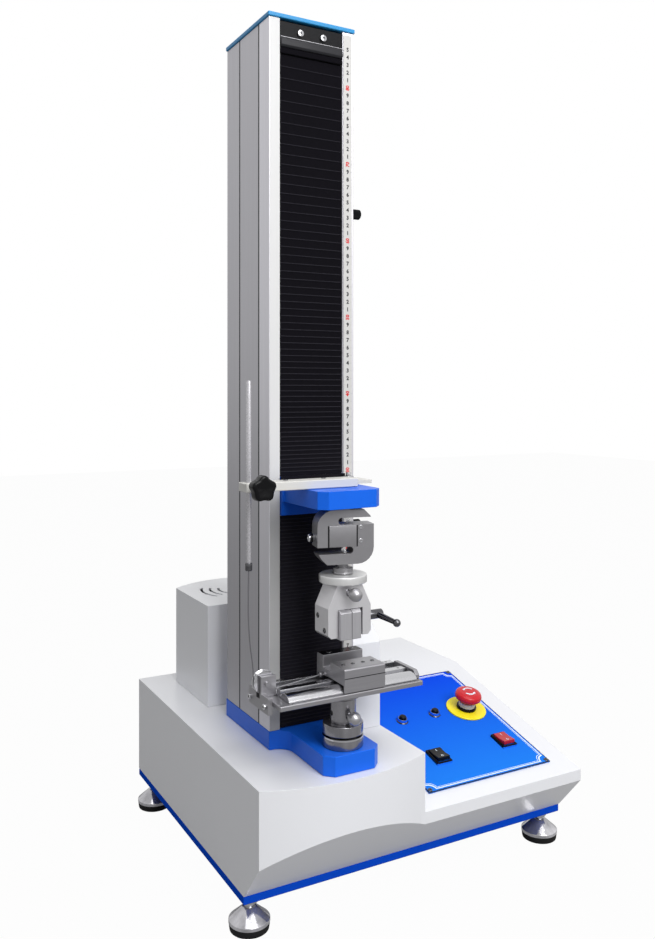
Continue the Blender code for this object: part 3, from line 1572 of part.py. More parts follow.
def build_pulley():
    half = WIRE_PULLEY_WIDTH / 2
    groove_half = WIRE_GROOVE_WIDTH / 2
    turned(
        "wire_pulley",
        [
            (WIRE_PULLEY_RADIUS, half),
            (WIRE_PULLEY_RADIUS, groove_half + 0.0008),
            (WIRE_GROOVE_RADIUS, groove_half),
            (WIRE_GROOVE_RADIUS, -groove_half),
            (WIRE_PULLEY_RADIUS, -groove_half - 0.0008),
            (WIRE_PULLEY_RADIUS, -half),
            (WIRE_AXLE_RADIUS + BORE_CLEARANCE, -half),
            (WIRE_AXLE_RADIUS + BORE_CLEARANCE, half),
        ],
        (WIRE_PULLEY_X, WIRE_PULLEY_Y, WIRE_PULLEY_Z),
        "bright_metal",
        turn=TURN_TO_FRONT,
        ring=True,
        sides=32,
    )
    slot_half = half + 2 * GAP
    left = FIXTURE_LEFT - GAP - FORK_THICK
    right = FIXTURE_LEFT - GAP
    fork = box("pulley_fork", (left, FORK_FRONT, FORK_BOTTOM), (right, FORK_BACK, FORK_TOP), "steel")
    cheek_bottom = FIXTURE_TOP + GAP
    cheek_right = WIRE_PULLEY_X + FORK_REACH
    for name, near in (("front_cheek", -slot_half - FORK_CHEEK), ("rear_cheek", slot_half)):
        y = WIRE_PULLEY_Y + near
        join(
            fork,
            box(name, (right - FORK_THICK / 2, y, cheek_bottom), (cheek_right, y + FORK_CHEEK, FORK_TOP)),
        )
    slot_low = (left - FORK_THICK, WIRE_PULLEY_Y - slot_half, cheek_bottom - FORK_THICK / 2)
    slot_high = (cheek_right + FORK_THICK, WIRE_PULLEY_Y + slot_half, FORK_TOP + FORK_THICK)
    cut(fork, box("pulley_slot", slot_low, slot_high))
    for name, low, high in (
        ("fork_front_step", FORK_FRONT - FORK_CHEEK, WIRE_PULLEY_Y - slot_half - FORK_CHEEK),
        ("fork_rear_step", WIRE_PULLEY_Y + slot_half + FORK_CHEEK, FORK_BACK + FORK_CHEEK),
    ):
        step_low = (left - FORK_THICK, low, cheek_bottom + 0.0040)
        step_high = (right + FORK_THICK, high, FORK_TOP + FORK_THICK)
        cut(fork, box(name, step_low, step_high))
    axle_length = 2 * (slot_half + FORK_CHEEK) + 0.0060
    join(
        fork,
        cylinder(
            "pulley_axle",
            WIRE_AXLE_RADIUS,
            axle_length,
            (WIRE_PULLEY_X, WIRE_PULLEY_Y, WIRE_PULLEY_Z),
            turn=TURN_TO_FRONT,
            sides=20,
        ),
    )


def build_wire():
    """The pull wire hangs slack from the rod's ferrule, goes under the pulley and on to the slider."""
    ferrule_end = PULL_ROD_BOTTOM - FERRULE_LIP - GAP
    around = WIRE_GROOVE_RADIUS + WIRE_RADIUS + GAP
    route = [
        Vector((PULL_ROD_X, PULL_ROD_Y, ferrule_end)),
        Vector((-0.2394, -0.1730, 0.4053)),
        Vector((-0.2400, -0.1745, 0.3779)),
        Vector((-0.2390, -0.1765, 0.3485)),
        Vector((-0.2369, -0.1793, 0.3242)),
        Vector((-0.2362, -0.1800, 0.3110)),
        Vector((WIRE_PULLEY_X - around, WIRE_PULLEY_Y, WIRE_PULLEY_Z)),
    ]
    leave = math.radians(-82)
    bend = [
        Vector((x, WIRE_PULLEY_Y, z))
        for x, z in arc((WIRE_PULLEY_X, WIRE_PULLEY_Z), around, -math.pi, leave, 10)
    ]
    wire("pull_wire_drop", [*smooth_route(route, 5), *bend[1:]], "steel")
    anchor = Vector((SLIDER_LEFT - ANCHOR_LENGTH - GAP, WIRE_PULLEY_Y, ANCHOR_Z))
    start = bend[-1] + (anchor - bend[-1]).normalized() * GAP
    wire("pull_wire_run", [start.lerp(anchor, i / 8) for i in range(9)], "steel")


def build_stops():
    for name, z in (("upper_stop", UPPER_STOP_Z), ("lower_stop", LOWER_STOP_Z)):
        face = COLUMN_RIGHT + GAP
        y = GROOVE_YS[0]
        stop = box(
            name,
            (face, y - STOP_BLOCK / 2, z - STOP_BLOCK / 2),
            (face + STOP_BLOCK_THICK, y + STOP_BLOCK / 2, z + STOP_BLOCK / 2),
            "black_plastic",
            edge=0.0010,
        )
        tongue = 0.0020
        half = GROOVE_WIDTH / 2 - GAP
        join(
            stop,
            box(
                name + "_tongue",
                (face - tongue, y - half, z - STOP_BLOCK / 2 + tongue),
                (face + tongue, y + half, z + STOP_BLOCK / 2 - tongue),
            ),
            cylinder(
                name + "_knob",
                STOP_RADIUS,
                STOP_KNOB_LENGTH,
                (face + STOP_BLOCK_THICK - tongue + STOP_KNOB_LENGTH / 2, y, z),
                turn=TURN_TO_X,
                sides=20,
            ),
        )


def rectangle(half_width, half_length):
    return [
        (-half_width, -half_length),
        (half_width, -half_length),
        (half_width, half_length),
        (-half_width, half_length),
    ]


def build_panel():
    centre = ((PANEL_LEFT + PANEL_RIGHT) / 2, (PANEL_FRONT + PANEL_BACK) / 2)
    half_width = (PANEL_RIGHT - PANEL_LEFT) / 2
    half_length = (PANEL_BACK - PANEL_FRONT) / 2 / math.cos(SLOPE_ANGLE)
    outline = rectangle(half_width, half_length)
    panel = prism("control_panel", [outline], PANEL_THICK, panel_matrix(centre, -PANEL_THICK), "panel_blue")
    for i, side in enumerate((-1, 1)):
        for j, end in enumerate((-1, 1)):
            notch = cylinder(f"panel_notch_{i}{j}", PANEL_NOTCH, 4 * PANEL_THICK, (0, 0, 0), sides=24)
            corner = Matrix.Translation((side * half_width, end * half_length, 0))
            notch.matrix_world = panel_matrix(centre) @ corner
            cut(panel, notch)
    sink = PANEL_THICK / 2
    for name, spot in BUTTON_SPOTS.items():
        profile = ring_profile(BEZEL_RADIUS, BUTTON_RADIUS + GAP, -sink, BEZEL_HEIGHT)
        bezel = turned(name + "_bezel", profile, (0, 0, 0), ring=True, sides=24)
        bezel.matrix_world = panel_matrix(spot)
        join(panel, bezel)
    for name, spot in ROCKER_SPOTS.items():
        width, length = ROCKER_BEZEL
        window = rectangle(ROCKER_WIDTH / 2 + GAP, ROCKER_HALF_LENGTH + 0.0010)
        bezel = prism(
            name + "_bezel",
            [rectangle(width / 2, length / 2), window],
            ROCKER_BEZEL_HEIGHT + sink,
            panel_matrix(spot, -sink),
        )
        join(panel, bezel)


def build_controls():
    for name, spot in BUTTON_SPOTS.items():
        top = BUTTON_LIFT + BUTTON_HEIGHT
        edge = 0.0010
        profile = [
            (0, top),
            (BUTTON_RADIUS - edge, top),
            (BUTTON_RADIUS, top - edge),
            (BUTTON_RADIUS, BUTTON_LIFT),
            (0, BUTTON_LIFT),
        ]
        button = turned(name, profile, (0, 0, 0), "black_plastic", sides=24)
        button.matrix_world = panel_matrix(spot)
    for (name, spot), finish in zip(ROCKER_SPOTS.items(), ("black_plastic", "red_plastic")):
        build_rocker(name, spot, finish)
    build_estop()


def build_rocker(name, spot, finish):
    """A rocker at rest in its off position, tipped about its pivot pin along X."""
    low, high = -ROCKER_THICK / 2, ROCKER_THICK / 2
    dip = 0.0010
    outline = [
        (-ROCKER_HALF_LENGTH, low),
        (ROCKER_HALF_LENGTH, low),
        (ROCKER_HALF_LENGTH, high + dip),
        (0, high),
        (-ROCKER_HALF_LENGTH, high + dip),
    ]
    made = prism(name, [outline], ROCKER_WIDTH, along_x(-ROCKER_WIDTH / 2), finish)
    pivot = panel_matrix(spot, ROCKER_PIVOT + ROCKER_THICK / 2 - 0.0005)
    made.matrix_world = pivot @ Matrix.Rotation(-ROCKER_TILT, 4, "X") @ made.matrix_world


def build_estop():
    neck_top = ESTOP_COLLAR_THICK + ESTOP_NECK_HEIGHT
    bore = ESTOP_STEM_RADIUS + GAP
    edge = 0.0008
    collar = turned(
        "estop_collar",
        [
            (ESTOP_NECK_RADIUS, neck_top),
            (ESTOP_NECK_RADIUS, ESTOP_COLLAR_THICK),
            (ESTOP_COLLAR_RADIUS - edge, ESTOP_COLLAR_THICK),
            (ESTOP_COLLAR_RADIUS, ESTOP_COLLAR_THICK - edge),
            (ESTOP_COLLAR_RADIUS, GAP),
            (bore, GAP),
            (bore, neck_top),
        ],
        (0, 0, 0),
        "yellow_plastic",
        ring=True,
        sides=32,
    )
    collar.matrix_world = panel_matrix(ESTOP_SPOT)
    cap_bottom = neck_top + ESTOP_TRAVEL + 0.0005
    cap_top = cap_bottom + ESTOP_CAP_THICK
    stem_bottom = GAP + ESTOP_TRAVEL + 0.0005
    button = turned(
        "estop_button",
        [
            (0, cap_top),
            *(
                (ESTOP_CAP_RADIUS * math.sin(turn), cap_top - ESTOP_DOME * (1 - math.cos(turn)))
                for turn in (math.pi / 2 * i / ESTOP_DOME_STEPS for i in range(1, ESTOP_DOME_STEPS + 1))
            ),
            (ESTOP_CAP_RADIUS - ESTOP_EDGE, cap_bottom + ESTOP_EDGE),
            (ESTOP_CAP_RADIUS * 0.85, cap_bottom),
            (ESTOP_STEM_RADIUS, cap_bottom),
            (ESTOP_STEM_RADIUS, stem_bottom),
            (0, stem_bottom),
        ],
        (0, 0, 0),
        "red_plastic",
        sides=32,
    )
    button.matrix_world = panel_matrix(ESTOP_SPOT)


def main():
    build_feet()
    build_base()
    build_inlet()
    build_motor_cover()
    build_column_base()
    build_column()
    build_drive()
    build_bellows()
    build_crosshead()
    build_load_cell()
    build_grip()
    build_lower_adapter()
    build_fixture()
    build_wire()
    build_stops()
    build_panel()
    build_controls()


clear_scene()
PARTS = make_collection("tensile_tester")
CUTTERS = make_collection("cutters")
main()
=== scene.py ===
"""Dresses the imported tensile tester: its painted housing, column, crosshead, grips, fixture and console."""

import json
import math

import bmesh
import bpy
import numpy as np
from mathutils import Matrix, Vector

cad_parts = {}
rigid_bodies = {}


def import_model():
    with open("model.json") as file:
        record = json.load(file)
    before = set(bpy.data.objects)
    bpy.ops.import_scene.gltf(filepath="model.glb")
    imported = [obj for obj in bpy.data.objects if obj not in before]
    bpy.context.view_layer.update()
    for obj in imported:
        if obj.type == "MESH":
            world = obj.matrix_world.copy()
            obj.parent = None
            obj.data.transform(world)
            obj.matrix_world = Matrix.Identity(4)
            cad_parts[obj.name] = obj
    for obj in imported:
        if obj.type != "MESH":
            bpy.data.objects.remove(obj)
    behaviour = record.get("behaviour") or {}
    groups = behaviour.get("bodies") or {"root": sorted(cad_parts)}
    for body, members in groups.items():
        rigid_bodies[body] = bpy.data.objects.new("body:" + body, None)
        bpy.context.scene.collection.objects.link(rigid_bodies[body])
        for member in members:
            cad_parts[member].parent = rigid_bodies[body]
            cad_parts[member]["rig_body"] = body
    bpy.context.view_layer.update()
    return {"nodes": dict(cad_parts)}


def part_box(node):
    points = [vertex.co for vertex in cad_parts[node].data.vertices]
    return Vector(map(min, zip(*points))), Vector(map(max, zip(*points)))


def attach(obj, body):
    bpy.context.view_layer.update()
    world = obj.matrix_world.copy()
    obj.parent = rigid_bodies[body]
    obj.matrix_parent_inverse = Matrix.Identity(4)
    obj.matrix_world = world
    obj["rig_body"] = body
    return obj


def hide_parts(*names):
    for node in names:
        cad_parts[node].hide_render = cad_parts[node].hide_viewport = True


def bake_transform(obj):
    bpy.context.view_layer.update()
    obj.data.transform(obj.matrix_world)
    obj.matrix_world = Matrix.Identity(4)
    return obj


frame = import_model()

bl_info = {
    "name": "Tensile tester finish",
    "version": (1, 0, 0),
    "blender": (4, 5, 0),
    "location": "3D View > Sidebar > Tester",
    "description": "Dresses a bench tensile tester and lights it",
    "category": "Object",
}

X_TURN = Matrix.Rotation(math.pi / 2, 4, "Y")  # own +Z goes to +X
LEFT_TURN = Matrix.Rotation(-math.pi / 2, 4, "Y")  # own +Z goes to -X
FRONT_TURN = Matrix.Rotation(math.pi / 2, 4, "X")  # own +Z goes to -Y
BACK_TURN = Matrix.Rotation(-math.pi / 2, 4, "X")  # own +Z goes to +Y
SUNK = 0.0001  # how far a small piece goes into the face that carries it
INK = 0.00008  # how far a printed mark stands out of its face

# The load axis, and the load cell's turn about it
COLUMN_X, LOAD_Y = -0.1243, -0.1936
LOAD_AXIS = Matrix.Translation((COLUMN_X, LOAD_Y, 0))
CELL_TURN = math.radians(-13)

# The console's plate: its slope, its edges in plan, half its sizes and the notches of its border
SLOPE = math.radians(14.604)
PANEL_LEFT, PANEL_RIGHT, PANEL_FRONT, PANEL_BACK = 0.0066, 0.2112, -0.1876, 0.0471
PANEL_HALF_X = (PANEL_RIGHT - PANEL_LEFT) / 2
PANEL_HALF_Y = (PANEL_BACK - PANEL_FRONT) / 2 / math.cos(SLOPE)
NOTCH = 0.0100

# The pull wire: its radius, its start at the ferrule, its way round the pulley, and the nut that takes it
WIRE_RADIUS = 0.00075
ROD_END = (-0.2385, -0.1720, 0.4321 - 0.0010 - 0.0003)
PULLEY_MIDDLE = (-0.2235, -0.1800, 0.3020)
AROUND = 0.0112 + WIRE_RADIUS + 0.0003
WIRE_SPLIT_Z = 0.335
SLIDER_LEFT, WIRE_Y, WIRE_NUT_Z = -0.1408, -0.1800, 0.2985


def srgb(red, green, blue):
    """A colour read as 0 to 255 on screen, as the linear value that a shader takes."""
    values = np.array([red, green, blue]) / 255
    linear = np.where(values <= 0.04045, values / 12.92, ((values + 0.055) / 1.055) ** 2.4)
    return tuple(float(v) for v in linear)


def at(x, y, z):
    """A move to a place."""
    return Matrix.Translation((x, y, z))


def node_box(node):
    """Lowest and highest corner of a CAD node as arrays."""
    low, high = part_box(node)
    return np.array(low), np.array(high)


def corner_spots(low, high, inset):
    """The four plan positions that stand inside a rectangle's corners."""
    return [(x, y) for x in (low[0] + inset, high[0] - inset) for y in (low[1] + inset, high[1] - inset)]


def node_middle(node):
    """The middle of a CAD node's box."""
    return sum(node_box(node)) / 2


# Shapes: each is (points, faces), worked out as whole arrays


def grid_shape(points, wrap_rows=False, wrap_columns=False, cap_ends=False):
    """Quads between neighbouring rows and columns of a grid of points, wrapped round where it closes."""
    rows, columns = points.shape[:2]
    index = np.arange(rows * columns).reshape(rows, columns)
    first, last = index[0].tolist(), index[-1].tolist()
    if wrap_rows:
        index = np.vstack([index, index[:1]])
    if wrap_columns:
        index = np.hstack([index, index[:, :1]])
    corners = (index[:-1, :-1], index[:-1, 1:], index[1:, 1:], index[1:, :-1])
    faces = np.stack(corners, axis=-1).reshape(-1, 4).tolist()
    if cap_ends:
        faces += [first[::-1], last]
    return points.reshape(-1, 3), faces


def placed(shape, matrix):
    """The shape's points taken through a matrix."""
    points, faces = shape
    turn = np.array(matrix.to_3x3())
    return points @ turn.T + np.array(matrix.translation), faces


def spun(rows, sides=64, ring=False):
    """Point = (r cos a, r sin a, h) for each row (r, h) and each angle a of a turn; r may differ by angle."""
    turn = np.linspace(0, 2 * np.pi, sides, endpoint=False)
    radii = np.array([np.broadcast_to(radius, sides) for radius, _ in rows])
    heights = np.array([np.broadcast_to(height, sides) for _, height in rows])
    points = np.stack([radii * np.cos(turn), radii * np.sin(turn), heights], axis=-1)
    return grid_shape(points, wrap_rows=ring, wrap_columns=True)


def hexagon(across, sides=48):
    """Radius of a hexagon by angle: half its width across flats over the cosine of the turn off its flat."""
    turn = np.linspace(0, 2 * np.pi, sides, endpoint=False)
    return across / 2 / np.cos((turn + np.pi / 6) % (np.pi / 3) - np.pi / 6)


def rounded(points, radius, steps=4, closed=True):
    """Each corner becomes an arc of the radius that touches both of its sides, less where they are short."""
    points = np.asarray(points, float)
    count = len(points)
    radii = np.broadcast_to(radius, count)
    made = []
    for i, (point, size) in enumerate(zip(points, radii)):
        if size <= 0 or (not closed and i in (0, count - 1)):
            made.append(point[None])
            continue
        before, after = points[i - 1] - point, points[(i + 1) % count] - point
        spans = np.linalg.norm(before), np.linalg.norm(after)
        u, v = before / spans[0], after / spans[1]
        half = math.acos(np.clip(u @ v, -1, 1)) / 2
        if half > math.radians(88):
            made.append(point[None])
            continue
        reach = min(size / math.tan(half), 0.48 * min(spans))
        fillet = reach * math.tan(half)
        centre = point + (u + v) / np.linalg.norm(u + v) * fillet / math.sin(half)
        start, end = point + u * reach - centre, point + v * reach - centre
        sweep = math.pi - 2 * half
        share = np.linspace(0, 1, steps + 1)[:, None]
        arc = np.sin((1 - share) * sweep) * start + np.sin(share * sweep) * end
        made.append(centre + arc / math.sin(sweep))
    return np.concatenate(made)


def drawn_in(outline, distance):
    """The outline drawn in: each corner goes along the sum of its sides' normals over 1 + their product."""
    ahead = np.roll(outline, -1, axis=0) - outline
    ahead = ahead / np.linalg.norm(ahead, axis=1, keepdims=True)
    normal = np.stack([-ahead[:, 1], ahead[:, 0]], axis=1)
    behind = np.roll(normal, 1, axis=0)
    product = (normal * behind).sum(axis=1, keepdims=True)
    return outline + distance * (normal + behind) / (1 + product)


def bar_shape(outline, low, high, edge=0.0):
    """An outline carried up its normal from low to high, its ends drawn in along a quarter circle."""
    outline = np.asarray(outline, float)
    nexts = np.roll(outline, -1, axis=0)
    if (outline[:, 0] * nexts[:, 1] - nexts[:, 0] * outline[:, 1]).sum() < 0:
        outline = outline[::-1]
    if edge:
        turn = np.linspace(0, np.pi / 2, 4)
        insets = edge * (1 - np.sin(turn))
        lifts = edge * (1 - np.cos(turn))
        insets = np.concatenate([insets, insets[::-1]])
        heights = np.concatenate([low + lifts, high - lifts[::-1]])
    else:
        insets, heights = np.zeros(2), np.array([low, high])
    rows = [
        np.column_stack([drawn_in(outline, inset), np.full(len(outline), height)])
        for inset, height in zip(insets, heights)
    ]
    return grid_shape(np.array(rows), wrap_columns=True, cap_ends=True)


def box_outline(low, high):
    """The four corners of a rectangle, from its lowest and highest corner."""
    return np.array([(low[0], low[1]), (high[0], low[1]), (high[0], high[1]), (low[0], high[1])])


def box_shape(low, high, corner=0.0, edge=0.0):
    """A box as an outline in X and Y carried up Z, with round corners and round top and bottom edges."""
    outline = rounded(box_outline(low, high), corner, 3) if corner else box_outline(low, high)
    return bar_shape(outline, low[2], high[2], edge)


def tube_shape(path, radius, sides):
    """A circle carried along a path, square to it, turned as little as the path allows."""
    path = np.asarray(path, float)
    ahead = np.gradient(path, axis=0)
    ahead /= np.linalg.norm(ahead, axis=1, keepdims=True)
    side = np.cross(ahead[0], (0.31, 0.77, 0.55))  # along no stretch of any path here
    turn = np.linspace(0, 2 * np.pi, sides, endpoint=False)[:, None]
    rows = []
    for point, way, size in zip(path, ahead, np.broadcast_to(radius, len(path))):
        side = side - way * (side @ way)
        side /= np.linalg.norm(side)
        other = np.cross(way, side)
        rows.append(point + size * (np.cos(turn) * side + np.sin(turn) * other))
    return grid_shape(np.array(rows), wrap_columns=True, cap_ends=True)


def turned(rows, place, sides, ring=False):
    """A turned solid in its place."""
    return placed(spun(rows, sides, ring), place)


def ball_rows(radius, middle=0.0, start=0.0, end=math.pi, count=20):
    """Rows (r, h) = (R sin a, middle + R cos a) of a ball from one polar angle to another."""
    turn = np.linspace(start, end, count)
    return [(float(radius * np.sin(a)), float(middle + radius * np.cos(a))) for a in turn]


def rod_rows(corners, radius=0.0, steps=3):
    """Rows (r, h) of a turned solid from its outline, with its corners rounded."""
    return [tuple(point) for point in rounded(corners, radius, steps, closed=False)]


def drum_rows(radius, low, high, edge=0.0, bore=0.0):
    """Rows (r, h) of a plain drum, or of a ring where it has a bore."""
    return rod_rows([(bore, low), (radius, low), (radius, high), (bore, high)], edge)


def cap_screw(head, height, socket, depth):
    """A socket cap screw's head: a drum with a rounded rim and a six-sided socket."""
    rim = head * 0.16
    rows = [(0, 0), (head, 0), (head, height - rim)]
    rows += [(head - rim * (1 - math.cos(a)), height - rim + rim * math.sin(a)) for a in (0.5, 1.0, 1.57)]
    rows += [(hexagon(socket), height), (hexagon(socket * 0.97), height - depth), (0, height - depth)]
    return spun(rows, 48)


def screw_shapes(size, places):
    """Like screws; size is the head's radius and height, and its socket's width and depth."""
    return [placed(cap_screw(*size), place) for place in places]


def text_shape(body, size, thick):
    """A word or figure as a closed thin mesh, centred on its own origin."""
    curve = bpy.data.curves.new("figure", "FONT")
    curve.body = body
    curve.size = size
    curve.extrude = thick / 2
    curve.offset = size * 0.040
    curve.align_x = "CENTER"
    curve.align_y = "CENTER"
    curve.resolution_u = 2
    holder = bpy.data.objects.new("figure", curve)
    bpy.context.scene.collection.objects.link(holder)
    bpy.context.view_layer.update()
    mesh = bpy.data.meshes.new_from_object(holder.evaluated_get(bpy.context.evaluated_depsgraph_get()))
    points = np.array([v.co for v in mesh.vertices], float).reshape(-1, 3)
    faces = [list(p.vertices) for p in mesh.polygons]
    bpy.data.objects.remove(holder)
    bpy.data.curves.remove(curve)
    bpy.data.meshes.remove(mesh)
    return points, faces


# Pieces


def joined(shapes):
    """Several shapes as one list of points and one of faces."""
    points, faces, start = [], [], 0
    for shape_points, shape_faces in shapes:
        points.append(shape_points)
        faces += [[i + start for i in face] for face in shape_faces]
        start += len(shape_points)
    return np.concatenate(points), faces


def add_piece(name, shapes, material, body, replaces=(), angle=32):
    """A piece from shapes: merged, its faces turned outwards, shaded smooth except at its hard edges."""
    points, faces = joined(shapes)
    mesh = bpy.data.meshes.new(name)
    mesh.from_pydata(points.tolist(), [], faces)
    shape = bmesh.new()
    shape.from_mesh(mesh)
    bmesh.ops.remove_doubles(shape, verts=shape.verts, dist=0.0000005)
    bmesh.ops.recalc_face_normals(shape, faces=shape.faces)
    shape.to_mesh(mesh)
    shape.free()
    mesh.shade_smooth()
    mesh.set_sharp_from_angle(angle=math.radians(angle))
    return settle(bpy.data.objects.new(name, mesh), material, body, replaces)


def add_turned(name, rows, place, sides, material, body, replaces=(), ring=False):
    """A piece that is one turned solid."""
    add_piece(name, [turned(rows, place, sides, ring)], material, body, replaces)


def add_drums(name, rows, places, material, body):
    """A piece of like turned solids, one at each place."""
    add_piece(name, [turned(rows, place, 48) for place in places], material, body)


def add_screws(name, size, places, material, body):
    """A piece of like screws, one at each place."""
    add_piece(name, screw_shapes(size, places), material, body)


def add_strip(name, low, high, material, body):
    """A piece that is a thin box with slightly round edges."""
    add_piece(name, [box_shape(low, high, 0, 0.0003)], material, body)


def settle(piece, material, body, replaces=()):
    """Links a piece, gives it its finish and slot, and lets it ride on its body; one without a body stays in
    place.
    """
    bpy.context.scene.collection.objects.link(piece)
    piece.data.materials.clear()
    piece.data.materials.append(look(material))
    if replaces:
        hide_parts(*replaces)
    if body:
        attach(piece, body)
    return piece


def dress_solid(node, material):
    """A better finish for a node that keeps its own solid."""
    slots = frame["nodes"][node].data.materials
    slots.clear()
    slots.append(look(material))


def rounded_copy(node, material, width, segments=2, keep_sharp=None):
    """A node's solid with its hard edges rounded; keep_sharp picks edge middles that stay as they are."""
    source = frame["nodes"][node]
    shape = bmesh.new()
    shape.from_mesh(source.data)
    bmesh.ops.remove_doubles(shape, verts=shape.verts, dist=0.000001)
    bmesh.ops.dissolve_limit(shape, angle_limit=math.radians(0.5), verts=shape.verts, edges=shape.edges)
    weight = shape.edges.layers.float.new("bevel_weight_edge")
    for edge in shape.edges:
        hard = edge.calc_face_angle(0) > math.radians(24)
        middle = (edge.verts[0].co + edge.verts[1].co) / 2
        stays = bool(hard and keep_sharp and keep_sharp(middle))
        edge.smooth = not stays
        edge[weight] = 1.0 if hard and not stays else 0.0
    for face in shape.faces:
        face.smooth = True
    mesh = bpy.data.meshes.new(node + "_form")
    shape.to_mesh(mesh)
    shape.free()
    piece = bpy.data.objects.new(node + "_form", mesh)
    bevel = piece.modifiers.new("Edges", "BEVEL")
    bevel.limit_method = "WEIGHT"
    bevel.width = width
    bevel.segments = segments
    bevel.use_clamp_overlap = True
    normals = piece.modifiers.new("Normals", "WEIGHTED_NORMAL")
    normals.keep_sharp = True
    return settle(piece, material, source["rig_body"], [node])


# Finishes


def map_range(tree, value, start, end, first, last):
    """A number that goes from first to last as the value goes from start to end."""
    share = tree.nodes.new("ShaderNodeMapRange")
    for name, number in (("From Min", start), ("From Max", end), ("To Min", first), ("To Max", last)):
        share.inputs[name].default_value = number
    tree.links.new(value, share.inputs["Value"])
    return share.outputs["Result"]


def place_along(tree, places, axis):
    """One coordinate of the place."""
    split = tree.nodes.new("ShaderNodeSeparateXYZ")
    tree.links.new(places, split.inputs["Vector"])
    return split.outputs[axis]


def faded(tree, places, colour, axis, start, end, first, last):
    """Colour x k, where k goes from first to last as the place along an axis goes from start to end."""
    scaled = tree.nodes.new("ShaderNodeVectorMath")
    scaled.operation = "SCALE"
    tree.links.new(colour, scaled.inputs[0])
    share = map_range(tree, place_along(tree, places, axis), start, end, first, last)
    tree.links.new(share, scaled.inputs["Scale"])
    return scaled.outputs["Vector"]


def noise(tree, places, cells, detail):
    """Noise over the surface, from 0 to 1."""
    made = tree.nodes.new("ShaderNodeTexNoise")
    made.inputs["Scale"].default_value = cells
    made.inputs["Detail"].default_value = detail
    tree.links.new(places, made.inputs["Vector"])
    return made.outputs["Fac"]


def finish(name, colour, roughness, metallic=0.0, vary=0.03, cells=60.0, stretch=(1, 1, 1), bump=0.03,
           grain=900.0, coat=0.0, rough_vary=0.06, specular=0.5, fades=()):
    """A finish whose tone and gloss drift over the surface, with a fine grain stretched along its lay."""
    name += "_finish"  # the frame has flat materials under the plain names
    if name in bpy.data.materials:
        return bpy.data.materials[name]
    colour = tuple(getattr(PALETTE, colour)) if isinstance(colour, str) else srgb(*colour)
    made = bpy.data.materials.new(name)
    made.use_nodes = True
    tree = made.node_tree
    shader = tree.nodes["Principled BSDF"]
    shader.inputs["Metallic"].default_value = metallic
    shader.inputs["Coat Weight"].default_value = coat
    shader.inputs["Coat Roughness"].default_value = 0.12
    shader.inputs["Specular IOR Level"].default_value = specular
    places = tree.nodes.new("ShaderNodeTexCoord").outputs["Object"]
    lay = tree.nodes.new("ShaderNodeMapping")
    lay.inputs["Scale"].default_value = stretch
    tree.links.new(places, lay.inputs["Vector"])
    tone = tree.nodes.new("ShaderNodeMix")
    tone.data_type = "RGBA"
    tone.inputs["A"].default_value = (*[c * (1 - vary) for c in colour], 1)
    tone.inputs["B"].default_value = (*[min(1, c * (1 + vary)) for c in colour], 1)
    tree.links.new(noise(tree, lay.outputs["Vector"], cells, 3), tone.inputs["Factor"])
    shown = tone.outputs["Result"]
    # Each fade paints light or shade: the colour made lighter or darker along one axis
    for fade in fades:
        shown = faded(tree, places, shown, *fade)
    tree.links.new(shown, shader.inputs["Base Color"])
    fine = noise(tree, lay.outputs["Vector"], grain, 4)
    gloss = map_range(tree, fine, 0.0, 1.0, max(0.02, roughness - rough_vary), roughness + rough_vary)
    tree.links.new(gloss, shader.inputs["Roughness"])
    relief = tree.nodes.new("ShaderNodeBump")
    relief.inputs["Strength"].default_value = bump
    relief.inputs["Distance"].default_value = 0.0004
    tree.links.new(fine, relief.inputs["Height"])
    tree.links.new(relief.outputs["Normal"], shader.inputs["Normal"])
    return made


